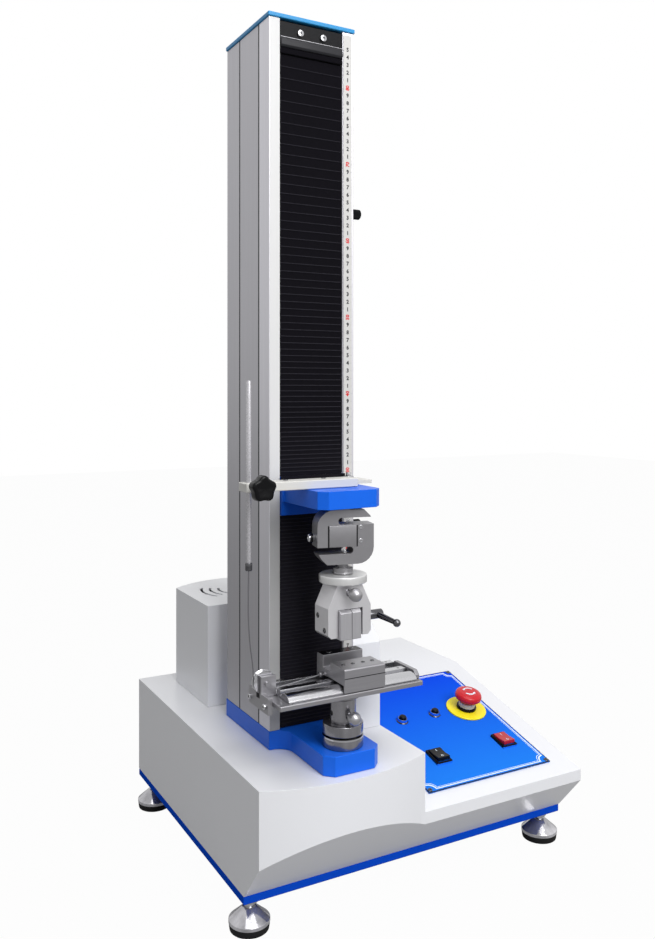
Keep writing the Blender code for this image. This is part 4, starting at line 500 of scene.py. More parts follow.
# Colours are as seen on screen, 0 to 255, or the name of one that a user may change
LOOKS = {
    "white_paint": dict(colour="housing", roughness=0.34, vary=0.012, cells=9, bump=0.05, grain=420,
                        coat=0.2),
    "base_blue": dict(colour="base_plate", roughness=0.45, vary=0.05, cells=30, bump=0.05, grain=500,
                      specular=0.0),
    # arm_blue: painted shade, darker towards the back of the arm
    "arm_blue": dict(colour="arms", roughness=0.34, vary=0.06, cells=35, bump=0.05, grain=1400, coat=0.02,
                     specular=0.12, fades=[("Y", -0.1900, -0.1250, 1.0, 0.70)]),
    # tongue_blue: painted shade, darker towards the back of the column base
    "tongue_blue": dict(colour="arms", roughness=0.34, vary=0.06, cells=35, bump=0.05, grain=1400, coat=0.02,
                        specular=0.15, fades=[("Y", -0.2050, -0.1200, 1.0, 0.85)]),
    # cap_blue: a light teal as the cap's lit front edge looks, a painted highlight
    "cap_blue": dict(colour=(40, 138, 196), roughness=0.34, vary=0.05, bump=0.04, specular=0.3),
    # column_aluminium: painted light, its front face 1.42 times lighter than its sides, and painted shade,
    # darker towards the bottom and lighter towards the top
    "column_aluminium": dict(colour="column", roughness=0.44, metallic=0.7, vary=0.05, cells=40,
                             stretch=(8, 8, 0.15), bump=0.06, grain=500,
                             fades=[("Y", -0.0840, -0.0820, 1.42, 1.0), ("Z", 0.20, 1.10, 0.84, 1.16)]),
    # bright_strip: a lighter copy of the column's grey for its lit front, with a painted shadow below the
    # crosshead
    "bright_strip": dict(colour=(212, 212, 212), roughness=0.40, vary=0.02, cells=20, stretch=(8, 8, 0.2),
                         grain=400, specular=0.2, fades=[("Z", 0.475, 0.545, 0.56, 1.0)]),
    "silver_bar": dict(colour=(208, 207, 203), roughness=0.40, stretch=(0.3, 6, 6), bump=0.04, specular=0.2),
    "satin_nickel": dict(colour=(138, 137, 140), roughness=0.36, metallic=0.7, vary=0.06, cells=80, bump=0.12,
                         grain=1500),
    "satin_steel": dict(colour=(206, 205, 208), roughness=0.34, metallic=0.6, vary=0.05, cells=70, bump=0.05,
                        grain=1300),
    "bright_ring": dict(colour=(214, 214, 214), roughness=0.34, metallic=0.6, vary=0.05, cells=70, bump=0.05,
                        grain=1300),
    "brushed_steel": dict(colour=(184, 183, 187), roughness=0.33, metallic=0.8, vary=0.08, cells=90,
                          stretch=(6, 6, 0.4), bump=0.09, grain=700),
    # slider_steel: the fixture's steel, and also the painted highlight along the clamp's lip
    "slider_steel": dict(colour=(150, 149, 153), roughness=0.34, metallic=0.8, vary=0.08, cells=90,
                         stretch=(0.4, 6, 6), bump=0.08, grain=700),
    "chrome": dict(colour=(188, 188, 191), roughness=0.12, metallic=1.0, vary=0.02, bump=0.015,
                   rough_vary=0.04),
    "rod_steel": dict(colour=(190, 189, 193), roughness=0.28, metallic=0.6, vary=0.05, stretch=(6, 6, 0.3)),
    # foot_steel: strong tone bands up and down the cones, painted reflections
    "foot_steel": dict(colour=(196, 195, 199), roughness=0.15, metallic=0.8, vary=0.75, stretch=(1, 1, 0.05),
                       bump=0.02),
    "dark_chrome": dict(colour=(96, 96, 99), roughness=0.16, metallic=1.0, vary=0.04, bump=0.02,
                        rough_vary=0.04),
    "ball_steel": dict(colour=(160, 159, 162), roughness=0.34, metallic=0.85, vary=0.04),
    "polished_rail": dict(colour=(196, 196, 199), roughness=0.20, metallic=1.0, vary=0.10, cells=120,
                          stretch=(0.15, 5, 5), bump=0.05, grain=500),
    # bellows_cloth: painted light, up to 2.2 times lighter below the crosshead, against the shade there
    "bellows_cloth": dict(colour=(20, 19, 23), roughness=0.80, vary=0.12, cells=200, bump=0.12, grain=2400,
                          specular=0.0, fades=[("Z", 0.40, 0.60, 2.2, 1.0)]),
    # black_plastic: real black parts, and also painted shade in the column's grooves, the load cell's slits
    # and the slider's groove
    "black_plastic": dict(colour=(24, 24, 26), roughness=0.36, vary=0.1, bump=0.05, grain=1600,
                          specular=0.08),
    # grey_black: the clamp's lip a lighter grey than the clamp, painted light on its sloped face
    "grey_black": dict(colour=(44, 44, 47), roughness=0.40, vary=0.08, bump=0.05, specular=0.12),
    # gloss_black: real gloss black parts, and also painted shade, the dark discs in the grip's and the stem's
    # holes
    "gloss_black": dict(colour=(13, 13, 15), roughness=0.20, vary=0.05, bump=0.02, specular=0.14),
    # ridge_cloth: a lighter cloth on the fold ridges, a painted highlight
    "ridge_cloth": dict(colour=(40, 39, 44), roughness=0.70, vary=0.15, cells=200, bump=0.1, specular=0.0),
    # dark_steel: strong tone bands up and down, painted reflections on the socket, its ring and the stem
    "dark_steel": dict(colour=(140, 139, 143), roughness=0.22, metallic=0.9, vary=0.50, cells=95,
                       stretch=(1, 1, 0.03), bump=0.03, grain=900),
    "rubber": dict(colour=(24, 24, 25), roughness=0.80, vary=0.12, bump=0.2, grain=1800, specular=0.2),
    "red_plastic": dict(colour=(196, 22, 36), roughness=0.26, vary=0.05, bump=0.02, coat=0.15, specular=0.3),
    "lamp_red": dict(colour=(176, 22, 30), roughness=0.22, vary=0.12, cells=180, bump=0.04, coat=0.15,
                     specular=0.3),
    "yellow_plastic": dict(colour=(244, 226, 26), roughness=0.40, vary=0.04, bump=0.04),
    "grey_plastic": dict(colour=(190, 190, 194), roughness=0.35, vary=0.04),
    "rule_white": dict(colour=(200, 199, 197), roughness=0.40, vary=0.02, bump=0.02, specular=0.2),
    "wire_steel": dict(colour=(120, 120, 124), roughness=0.35, metallic=0.9, vary=0.1, cells=400, bump=0.1),
    # black_ink: real print, and also the painted shadow round the console plate's edge
    "black_ink": dict(colour=(26, 26, 28), roughness=0.5, vary=0.06, cells=300, specular=0.2),
    "grey_ink": dict(colour=(150, 150, 152), roughness=0.5, vary=0.06, cells=300, specular=0.2),
    "red_ink": dict(colour=(205, 40, 45), roughness=0.5, vary=0.06, cells=300, specular=0.2),
    "pale_ink": dict(colour=(225, 238, 250), roughness=0.5, vary=0.06, cells=300),
}


def panel_blue():
    """The console's printed plate: one blue, painted lighter towards the operator as the light falls on it.
    """
    made = finish("panel_blue", "panel_far", 0.34, cells=40, grain=700, specular=0.0)
    tree = made.node_tree
    base = tree.nodes["Principled BSDF"].inputs["Base Color"]
    tone = base.links[0].from_socket
    if tone.node.label == "near":
        return made
    low, high = node_box("control_panel")
    places = next(n for n in tree.nodes if n.type == "TEX_COORD").outputs["Object"]
    # Painted light: the blue lightens from the far edge to the near one
    near = tree.nodes.new("ShaderNodeMix")
    near.label = "near"
    near.data_type = "RGBA"
    near.inputs["B"].default_value = (*PALETTE.panel_near, 1)
    tree.links.new(tone, near.inputs["A"])
    share = map_range(tree, place_along(tree, places, "Y"), high[1], low[1], 0.0, 1.0)
    tree.links.new(share, near.inputs["Factor"])
    tree.links.new(near.outputs["Result"], base)
    return made


def look(name):
    """The finish of this name, made at its first use."""
    return panel_blue() if name == "panel_blue" else finish(name, **LOOKS[name])


# What a user may change


def colour_choice(name, description, *shown):
    """A colour that a user may change, with its default as seen on screen."""
    return bpy.props.FloatVectorProperty(
        name=name, description=description, subtype="COLOR", size=3, min=0, max=1, default=srgb(*shown)
    )


class TesterColours(bpy.types.PropertyGroup):
    """Colours of the painted and anodised pieces."""

    housing: colour_choice("Housing", "White paint of the housing", 228, 229, 233)
    base_plate: colour_choice("Base plate", "Deep blue of the base plate", 14, 74, 200)
    arms: colour_choice("Arms", "Blue of the crosshead and the column base", 24, 100, 222)
    column: colour_choice("Column", "Grey of the column's sides", 178, 177, 182)
    # The plate's blue at its far and near edges: the near one painted lighter as lit
    panel_far: colour_choice("Panel, far edge", "Blue at the back of the console's plate", 18, 70, 222)
    panel_near: colour_choice("Panel, near edge", "Blue at the front of the console's plate", 34, 122, 228)


def radius_choice(name, description, default, most):
    """A radius that a user may change, in metres."""
    return bpy.props.FloatProperty(
        name=name, description=description, default=default, min=0.001, max=most, unit="LENGTH"
    )


def fold_choice(name, description):
    """A number of folds that a user may change."""
    return bpy.props.IntProperty(name=name, description=description, default=58, min=10, max=120)


class TesterSizes(bpy.types.PropertyGroup):
    """Sizes of what the finish adds."""

    housing_edge: radius_choice("Housing edge", "Radius of the housing's edges", 0.0065, 0.012)
    cover_edge: radius_choice("Cover edge", "Radius of the motor cover's edges", 0.0080, 0.01)
    upper_folds: fold_choice("Upper folds", "Folds of the upper bellows")
    lower_folds: fold_choice("Lower folds", "Folds of the lower bellows")
    light: bpy.props.FloatProperty(
        name="Light", description="Strength of the studio lamps", default=1.0, min=0.1, max=4
    )


# Base


def build_housing():
    """The painted housing and motor cover with round edges, save the cover's vents, and the base plate."""
    low, high = node_box("motor_cover")
    left, right, front = low[0] + 0.035, -0.045, 0.09

    def vents(middle):
        return abs(middle.z - high[2]) < 0.02 and left < middle.x < right and middle.y > front

    rounded_copy("base_housing", "white_paint", SIZES.housing_edge, 4)
    rounded_copy("base_plate", "base_blue", 0.0010)
    rounded_copy("motor_cover", "white_paint", SIZES.cover_edge, 4, vents)


def build_feet():
    """Each foot is a rubber pad, a chromed cone with a rim, and a stud with its lock nut."""
    pad_top, cone_low, cone_top, nut_low, nut_top = 0.0082, 0.0083, 0.0272, 0.0312, 0.0385
    stud_radius, nut = 0.0052, hexagon(0.0176, 96)
    pad = rod_rows([(0, 0), (0.0236, 0), (0.0248, pad_top), (0, pad_top)], 0.0012)
    cone = [(0, cone_low), (0.0250, cone_low), (0.0250, 0.0128), (0.0092, 0.0262), (0.0078, cone_top)]
    cone = rod_rows([*cone, (0, cone_top)], 0.0009)
    for node in ("foot_front_left", "foot_front_right", "foot_rear_left", "foot_rear_right"):
        x, y, _ = node_middle(node)
        top = node_box(node)[1][2]
        stud = [(0, cone_top), (stud_radius, cone_top), (stud_radius, nut_low), (nut, nut_low)]
        stud += [(nut, nut_top), (stud_radius, nut_top), (stud_radius, top), (0, top)]
        spot = at(x, y, 0)
        add_turned(node + "_pad", pad, spot, 96, "rubber", "frame")
        add_turned(node + "_stud", stud, spot, 96, "chrome", "frame")
        add_turned(node + "_cone", cone, spot, 96, "foot_steel", "frame", [node])


def build_inlet():
    """The mains inlet with its three flat pins."""
    rounded_copy("power_inlet", "black_plastic", 0.0006)
    half = np.array([0.0010, 0.0045, 0.0020])
    middle = node_middle("power_inlet")
    middle[1] = node_box("power_inlet")[1][1] - 0.0122 + half[1]
    pins = []
    for x, z in ((-0.0070, -0.0015), (0.0, 0.0025), (0.0070, -0.0015)):
        pin = middle + (x, 0, z)
        pins.append(box_shape(pin - half, pin + half, 0.0004, 0.0003))
    add_piece("inlet_pins", pins, "chrome", "frame")


# Column


def build_column():
    """The profile, its base and cap, a front skin painted lighter as lit, painted shade in its grooves, four
    screws.
    """
    rounded_copy("column_profile", "column_aluminium", 0.0008)
    rounded_copy("column_base", "tongue_blue", 0.0010, 3)
    rounded_copy("column_cap", "cap_blue", 0.0008)
    low, high = node_box("column_profile")
    # A skin on the column's front, painted lighter where the light falls on it and painted darker below the
    # crosshead as its shadow
    skin = 0.00015
    start = (low[0] + 0.0009, low[1] - skin, low[2])
    end = (node_box("upper_bellows")[0][0] - 0.0006, low[1] + skin, high[2] - 0.0005)
    add_piece("front_strip", [box_shape(start, end)], "bright_strip", "frame")
    # Dark strips in the grooves: painted shade where the grooves lie in shadow
    half, gap = 0.0016, 0.0002
    groove_shades = []
    for y in (-0.0831, -0.0218):
        for x, depth in ((low[0] + 0.0003, 0.0026), (high[0] - 0.0029, 0.0002)):
            groove_shades.append(box_shape((x, y - half, low[2] + gap), (x + depth, y + half, high[2] - gap)))
    add_piece("groove_linings", groove_shades, "black_plastic", "frame")
    low, high = node_box("column_cap")
    places = [at(x, y, high[2] - SUNK) for x, y in corner_spots(low, high, 0.014)]
    add_screws("cap_screws", (0.0042, 0.0006, 0.0030, 0.0005), places, "chrome", "frame")


def build_rule():
    """A dot and a black figure at each centimetre, and a red number that reads upwards at each ten."""
    dress_solid("scale_rule", "rule_white")
    low, high = node_box("scale_rule")
    face, zero, pitch = low[1], 0.2373, 0.01
    figures = {n: text_shape(str(n), 0.0070, INK) for n in range(1, 10)}
    middle = (low[0] + high[0]) / 2
    dot_left, dot_right, dot_half = high[0] - 0.0013, high[0] - 0.0005, 0.0003
    dots, units, tens = [], [], []
    for centimetre in range(1, int((high[2] - zero) / pitch)):
        z = zero + pitch * centimetre
        dots.append(box_shape((dot_left, face - INK, z - dot_half), (dot_right, face, z + dot_half)))
        spot = at(middle, face - INK / 2, z) @ FRONT_TURN
        if centimetre % 10:
            units.append(placed(figures[centimetre % 10], spot))
        else:
            upright = spot @ Matrix.Rotation(math.pi / 2, 4, "Z")
            tens.append(placed(text_shape(str(centimetre), 0.0068, INK), upright))
    add_piece("rule_dots", dots, "grey_ink", "frame")
    add_piece("rule_marks", units, "black_ink", "frame")
    add_piece("rule_tens", tens, "red_ink", "frame")


def fold_heights(bottom, top, folds, ratio):
    """Heights of the fold lines: each fold is taller than the one below it by the same share."""
    growth = ratio ** (1 / max(1, folds - 1))
    sizes = growth ** np.arange(folds)
    return bottom + np.concatenate([[0], np.cumsum(sizes)]) / sizes.sum() * (top - bottom)


def bellows_parts(low, high, folds, ratio):
    """A flat cloth, and a half-round ridge (y, z) = (-h sin a, h cos a) at each fold line."""
    lines = fold_heights(low[2], high[2], folds, ratio)
    face, thick, inset, sunk = low[1] + 0.0014, 0.0010, 0.0004, 0.0003
    heights = np.unique(np.concatenate([lines, (lines[1:] + lines[:-1]) / 2]))
    corners = box_outline((low[0], face), (high[0], face + thick))
    sides = [np.column_stack([np.tile(corner, (len(heights), 1)), heights]) for corner in corners]
    cloth = np.stack(sides, axis=1)
    turn = np.linspace(0, np.pi, 7)
    half = np.stack([face + sunk - 0.0010 * np.sin(turn), 0.0008 * np.cos(turn)], axis=1)
    ends = [np.column_stack([np.full(len(turn), x), half]) for x in (low[0] + inset, high[0] - inset)]
    ridges = [grid_shape(np.array(ends) + (0, 0, z), wrap_columns=True, cap_ends=True) for z in lines[1:-1]]
    return grid_shape(cloth, wrap_columns=True, cap_ends=True), ridges


def build_bellows():
    """Two bellows between the frame and the crosshead, and the upper one's hem."""
    for node, folds, ratio in (
        ("upper_bellows", SIZES.upper_folds, 3.0),
        ("lower_bellows", SIZES.lower_folds, 1.0),
    ):
        low, high = node_box(node)
        cloth, ridges = bellows_parts(low, high, folds, ratio)
        middle_x = (low[0] + high[0]) / 2
        ends = [(middle_x, low[1], high[2]), (middle_x, low[1], low[2])]
        if node == "lower_bellows":
            ends.reverse()
        # The ridges are lighter than the cloth: a painted highlight on each fold
        parts = ("sheet", [cloth], "bellows_cloth"), ("ridges", ridges, "ridge_cloth")
        for part, shapes, material in parts:
            name = node + "_" + part
            piece = add_piece(name, shapes, material, None, [node], angle=60)
            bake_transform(piece)
    low, high = node_box("upper_bellows")
    start = (low[0] - 0.0012, -0.1199, low[2] - 0.0066)
    end = (high[0] + 0.0012, -0.1189, low[2] + 0.0004)
    add_strip("bellows_hem", start, end, "bellows_cloth", "crosshead")


def build_clamp():
    """The bar that holds the top of the bellows, its two screws and the bent lip under them, painted lighter
    grey as lit, and a painted highlight along its top.
    """
    rounded_copy("bellows_clamp", "black_plastic", 0.0012)
    low, high = node_box("bellows_clamp")
    x, _, z = (low + high) / 2
    left, right, front, back = low[0] + 0.0006, high[0] - 0.0006, low[1], low[1] + 0.0004
    lip_height = 0.0125
    hem_top = low[2] + 0.0075
    lip_top = hem_top + lip_height
    lip = [(0.0, 0.0), (-0.0030, -0.0012), (-0.0042, -0.0100), (-0.0024, -lip_height), (0.0, -lip_height)]
    lip = bar_shape(rounded(lip, 0.0015), left, right, 0.0004)
    place = Matrix(((0, 0, 1, 0), (1, 0, 0, front + 0.0006), (0, 1, 0, lip_top), (0, 0, 0, 1)))
    # The lip is painted lighter grey than the clamp as lit
    add_piece("clamp_lip", [placed(lip, place)], "grey_black", "frame")
    # A thin grey strip along the lip's top: a painted highlight
    start, end = (left + 0.0002, front - 0.0012, lip_top), (right - 0.0002, back, lip_top + 0.0010)
    add_strip("clamp_edge", start, end, "slider_steel", "frame")
    start, end = (left, front - 0.0005, low[2] + 0.0001), (right, back, hem_top)
    add_strip("clamp_hem", start, end, "bellows_cloth", "frame")
    places = [at(x + way * 0.0165, front + SUNK, z + 0.0082) @ FRONT_TURN for way in (-1, 1)]
    add_screws("clamp_screws", (0.0043, 0.0028, 0.0034, 0.0016), places, "chrome", "frame")
    add_drums("clamp_washers", drum_rows(0.0056, -0.0002, 0.0006), places, "gloss_black", "frame")


def knurled_rows(radius, length, teeth=28, sides=168, depth=0.00035, edge=0.0008):
    """A drum with r = radius - depth + depth cos(teeth a) and plain rims."""
    turn = np.linspace(0, 2 * np.pi, sides, endpoint=False)
    ripple = radius - depth + depth * np.cos(teeth * turn)
    rim = radius - edge - depth
    return [(0, 0), (rim, 0), (ripple, edge), (ripple, length - edge), (rim, length), (0, length)]


def build_stops():
    """Each limit stop is a block in its groove with a knurled knob on it."""
    for node in ("upper_stop", "lower_stop"):
        low, high = node_box(node)
        _, y, z = (low + high) / 2
        block_end = low[0] + 0.0090
        overlap = 0.001
        block = box_shape((low[0] + 0.0022, low[1], low[2]), (block_end, high[1], high[2]), 0.0010, 0.0010)
        rows = knurled_rows(0.0068, high[0] - block_end + overlap)
        drum = turned(rows, at(block_end - overlap, y, z) @ X_TURN, 168)
        add_piece(node + "_knob", [block, drum], "black_plastic", node, [node])


# Crosshead


def build_crosshead():
    """The arm, the silver bar with two small screws, and the pointer with one."""
    rounded_copy("crosshead_arm", "arm_blue", 0.0010, 3)
    rounded_copy("extension_bar", "silver_bar", 0.0009, 3)
    rounded_copy("scale_pointer", "chrome", 0.0006)
    top = node_box("extension_bar")[1][2] - SUNK
    places = [at(x, -0.1680, top) for x in (-0.1888, -0.1371)]
    add_screws("bar_screws", (0.0030, 0.0014, 0.0026, 0.0010), places, "dark_chrome", "crosshead")
    low, high = node_box("scale_pointer")
    place = at((low[0] + high[0]) / 2, low[1] + 0.0060, high[2] - SUNK)
    add_screws("pointer_screw", (0.0032, 0.0042, 0.0028, 0.0020), [place], "chrome", "crosshead")


def build_star_knob():
    """Five lobes: r = base + lobe sin 5a, with edges of quarter circles, on a stepped hub."""
    low, high = node_box("star_knob")
    axis_z = low[2] + (high[2] - low[2]) * 0.525
    turn = np.linspace(0, 2 * np.pi, 160, endpoint=False)
    lobe = 0.0140 + 0.0013 * np.sin(5 * turn)
    thick, edge = 0.0150, 0.0030
    rows = [(0, 0)]
    for share in np.linspace(0, math.pi / 2, 6):
        rows.append((lobe - edge * (1 - math.sin(share)), edge * (1 - math.cos(share))))
    for share in np.linspace(math.pi / 2, 0, 8):
        rows.append((lobe - edge * (1 - math.sin(share)), thick - edge * (1 - math.cos(share))))
    rows += [(lobe * 0.6, thick + 0.0001), (lobe * 0.5, thick - 0.0004), (0, thick - 0.0004)]
    back = low[1] + thick + 0.0002
    place = at(node_middle("pull_rod")[0], back, axis_z) @ FRONT_TURN
    add_turned("star_knob_grip", rows, place, 160, "gloss_black", "star_knob", ["star_knob"])
    stud = back - high[1]
    hub = [(0, 0), (0.0065, 0), (0.0055, -0.0100), (0.0030, -0.0100), (0.0030, stud), (0, stud)]
    add_turned("star_knob_hub", rod_rows(hub, 0.0003), place, 64, "chrome", "star_knob")


def build_pull_rod():
    """A plain rod with a stepped ferrule at its lower end."""
    low, high = node_box("pull_rod")
    x, y, _ = (low + high) / 2
    rod = drum_rows(0.0030, 0.008, high[2] - low[2], 0.0005)
    ferrule = rod_rows([(0, 0), (0.0036, 0), (0.0042, 0.0012), (0.0042, 0.0095), (0, 0.0095)], 0.0006)
    add_turned("pull_rod_form", rod, at(x, y, low[2]), 48, "rod_steel", "pull_rod", ["pull_rod"])
    add_turned("pull_rod_ferrule", ferrule, at(x, y, low[2]), 48, "dark_chrome", "pull_rod")


def build_load_cell():
    """The S-type cell: its body, bare cover plates between slits painted dark as shade, end screws, lead
    socket and lower nut.
    """
    rounded_copy("load_cell", "satin_nickel", 0.0010, 3)
    top = node_box("load_cell")[1][2] - 0.0023
    front = at(COLUMN_X, LOAD_Y, top) @ Matrix.Rotation(CELL_TURN, 4, "Z")
    back = front @ Matrix.Rotation(math.pi, 4, "Z")
    face = -0.0125
    plates, slit_shades, screws = [], [], []
    for side, way in ((front, 1), (back, -1)):
        left, right = sorted((-0.0205 * way, 0.0131 * way))
        plate = box_shape((left, face - 0.0005, -0.0439), (right, face + 0.0004, -0.0187), 0, 0.0003)
        plates.append(placed(plate, side))
        # Dark strips beside the plates: painted shade in the slits
        for x in (-0.0214 * way, 0.0140 * way):
            slit_shade = box_shape((x - 0.0009, face - 0.0001, -0.0442), (x + 0.0009, face + 0.0004, -0.0184))
            slit_shades.append(placed(slit_shade, side))
        places = [side @ at(0.0186 * way, face, z) @ FRONT_TURN for z in (-0.0211, -0.0374)]
        screws += screw_shapes((0.0027, 0.0007, 0.0020, 0.0006), places)
    places = [
        front @ at(x, face + 0.0030, z) @ FRONT_TURN
        for x, z in ((0.0035, -0.0128), (-0.0035, -0.0472), (-0.0005, -0.0502))
    ]
    screws += screw_shapes((0.0018, 0.0012, 0.0012, 0.0006), places)
    add_piece("cell_cover", plates, "satin_nickel", "crosshead")
    add_piece("cell_slits", slit_shades, "black_plastic", "crosshead")
    add_piece("cell_screws", screws, "chrome", "crosshead")
    socket = front @ at(-0.0352, 0, -0.0335) @ LEFT_TURN
    ring = drum_rows(0.0058, 0.0030, 0.0066, 0.0004, bore=0.0030)
    plug = [(0, 0), (0.0048, 0), (0.0048, 0.0074), (0.0040, 0.0086), (0.0016, 0.0086), (0, 0.0074)]
    add_turned("cell_socket_ring", ring, socket, 64, "gloss_black", "crosshead", ring=True)
    add_turned("cell_socket", rod_rows(plug, 0.0004), socket, 64, "chrome", "crosshead")
    across = hexagon(0.0165, 96)
    nut = [(0, 0.0024), (across, 0.0024), (across, 0.0080), (0.0065, 0.0083), (0, 0.0083)]
    place = at(COLUMN_X, LOAD_Y, node_box("upper_lock_ring")[1][2])
    shapes = [turned(rows, place, 96) for rows in (nut, drum_rows(0.0122, 0.0006, 0.0026, 0.0005))]
    add_piece("cell_nut", shapes, "ball_steel", "crosshead")


def build_lock_ring(node, outer, inner, edge, material):
    """A ring about the load axis as tall as its node, with round edges."""
    low, high = node_box(node)
    rows = rounded([(outer, low[2]), (outer, high[2]), (inner, high[2]), (inner, low[2])], edge)
    add_turned(node + "_form", rows, LOAD_AXIS, 128, material, node, [node], ring=True)


def build_grip():
    """Lock ring, grip body with its side screws, jaws, ball-headed pin and clamping lever."""
    build_lock_ring("upper_lock_ring", 0.0290, 0.0104, 0.0013, "bright_ring")
    rounded_copy("grip_body", "satin_steel", 0.0009, 3)
    rounded_copy("fixed_jaw", "brushed_steel", 0.0006)
    rounded_copy("moving_jaw", "brushed_steel", 0.0006)
    low, high = node_box("grip_body")
    spots = (0.0070, 0.0235), (0.0235, 0.0085)
    places = [at(low[0], high[1] - depth, low[2] + lift) @ LEFT_TURN for depth, lift in spots]
    # Dark discs in the side holes: painted shade inside the holes
    hole_shade = drum_rows(0.0033, -0.0006, 0.0002)
    add_drums("grip_holes", hole_shade, places, "gloss_black", "crosshead")
    add_screws("grip_screws", (0.0026, 0.0009, 0.0022, 0.0007), places, "dark_chrome", "crosshead")
    build_pin("grip_pin")
    build_lever()


def build_pin(node):
    """A pin along Y with a ball in front, a tenth larger than the solid's."""
    low, high = node_box(node)
    x, _, z = (low + high) / 2
    radius = (high[2] - low[2]) / 2
    wide = radius * 1.10
    shank = 0.0040
    shank_start = radius + math.sqrt(radius**2 - shank**2) - 0.0010
    rows = [(r, 2 * radius - h) for r, h in ball_rows(wide, radius, 0, math.pi - math.asin(shank / wide), 28)]
    rows[0] = (0, radius - wide)
    rows.append((0, rows[-1][1]))
    place = at(x, low[1], z) @ BACK_TURN
    add_turned(node + "_ball", rows, place, 72, "ball_steel", node, [node])
    shaft = drum_rows(shank, shank_start, high[1] - low[1], 0.0004)
    add_turned(node + "_shank", shaft, place, 48, "chrome", node)


def build_lever():
    """The lever's screw and hub, and its tapered arm with a ball end."""
    screw_start = node_box("clamp_lever")[0][0]
    low, high = node_box("grip_body")
    axis_z = low[2] + 0.0179
    hub_start = high[0] + 0.0050
    hub_end = hub_start + 0.0210
    screw_radius, hub_radius, taper = 0.0040, 0.0058, 0.0012
    rows = [(0, screw_start), (screw_radius, screw_start), (screw_radius, hub_start), (hub_radius, hub_start)]
    rows += [(hub_radius, hub_end - taper), (hub_radius - taper, hub_end), (0, hub_end)]
    hub = turned(rod_rows(rows, 0.0004), at(0, LOAD_Y, axis_z) @ X_TURN, 64)
    start = np.array([hub_end - 0.0075, LOAD_Y, axis_z])
    reach = np.array([0.0060, -0.0360, -0.0040])
    share = np.linspace(0, 1, 24)[:, None]
    arm = tube_shape(start + reach * share, 0.0042 - 0.0012 * share[:, 0], 32)
    add_piece("clamp_lever_form", [hub, arm], "dark_chrome", "clamp_lever", ["clamp_lever"])
    end = at(*(start + reach))
    add_turned("clamp_lever_ball", ball_rows(0.0048), end, 48, "dark_chrome", "clamp_lever")


# Lower adapter and fixture


def build_adapter():
    """The socket with its rings, the stem of the fixture, and the pin through both."""
    low, high = node_box("lower_socket")
    ring_low, ring_high = node_box("lower_lock_ring")
    top, ring_top = ring_low[2] - 0.0024, ring_high[2]
    wide, neck, spigot = 0.0245, 0.0150, 0.0095
    rows = [(0, low[2]), (wide, low[2]), (wide, top), (neck, top), (neck, ring_top), (spigot, ring_top)]
    rows = rod_rows([*rows, (spigot, high[2]), (0, high[2])], 0.0008)
    add_turned("lower_socket_form", rows, LOAD_AXIS, 128, "dark_steel", "frame",
               ["lower_socket"])
    lip = drum_rows(0.0247, top - 0.0018, top + 0.0002, bore=0.0200)
    add_turned("socket_lip", lip, LOAD_AXIS, 128, "chrome", "frame", ring=True)
    build_lock_ring("lower_lock_ring", wide, 0.0154, 0.0011, "dark_steel")
    rounded_copy("fixture_stem", "dark_steel", 0.0006)
    place = at(COLUMN_X - 0.0158, LOAD_Y, node_box("fixture_stem")[0][2] + 0.0115) @ LEFT_TURN
    # A dark disc in the stem's hole: painted shade inside it
    hole_shade = drum_rows(0.0030, -0.0060, -0.0008)
    add_drums("stem_hole", hole_shade, [place], "gloss_black", "frame")
    build_pin("fixture_pin")


def build_fixture():
    """The fixture's plate, rail, slider and fork with their screws, and the nut that takes the wire."""
    rounded_copy("fixture_plate", "slider_steel", 0.0009, 3)
    rounded_copy("guide_rail", "polished_rail", 0.0003)
    rounded_copy("end_plate", "slider_steel", 0.0006)
    rounded_copy("slider", "slider_steel", 0.0008)
    rounded_copy("pulley_fork", "slider_steel", 0.0006)
    low, high = node_box("slider")
    small = [at(SLIDER_LEFT + x, -0.2095, 0.3157) for x in (0.0080, 0.0210, 0.0350, 0.0480)]
    large = [at(SLIDER_LEFT + x, -0.1660, high[2]) for x in (0.0120, 0.0440)]
    screws = screw_shapes((0.0026, 0.0006, 0.0022, 0.0005), small)
    screws += screw_shapes((0.0030, 0.0006, 0.0026, 0.0005), large)
    add_piece("slider_screws", screws, "dark_chrome", "slider")
    # A dark strip over the slider's front groove: painted shade in it
    proud = 0.00012
    start = (SLIDER_LEFT + 0.0002, low[1] - proud, 0.3040)
    end = (SLIDER_LEFT + 0.0559, low[1] + 0.0004, 0.3049)
    add_piece("slider_groove", [box_shape(start, end)], "black_plastic", "slider")
    start = (SLIDER_LEFT + 0.0006, -0.1736, high[2] - 0.0002)
    end = (SLIDER_LEFT + 0.0555, -0.1584, high[2] + proud)
    add_piece("slider_dark_top", [box_shape(start, end)], "gloss_black", "slider")
    low, high = node_box("guide_rail")
    first, pitch = low[0] + 0.012, 0.0255
    places = [at(first + i * pitch, y, high[2] - SUNK) for i in range(7) for y in (-0.1950, -0.1670)]
    add_screws("rail_screws", (0.0017, 0.0002, 0.0013, 0.0002), places, "gloss_black", "frame")
    build_pulley()
    fork_left = node_box("pulley_fork")[0][0] + SUNK
    places = [at(fork_left, y, 0.2805) @ LEFT_TURN for y in (-0.2005, -0.1600)]
    add_screws("fork_screws", (0.0032, 0.0030, 0.0026, 0.0016), places, "chrome", "frame")
    across = hexagon(0.0062)
    nut = [(0, 0), (across, 0), (across, 0.0045), (0.0020, 0.0050), (0, 0.0050)]
    place = at(SLIDER_LEFT - 0.0072, WIRE_Y, WIRE_NUT_Z) @ X_TURN
    add_turned("wire_nut", nut, place, 48, "chrome", "slider")


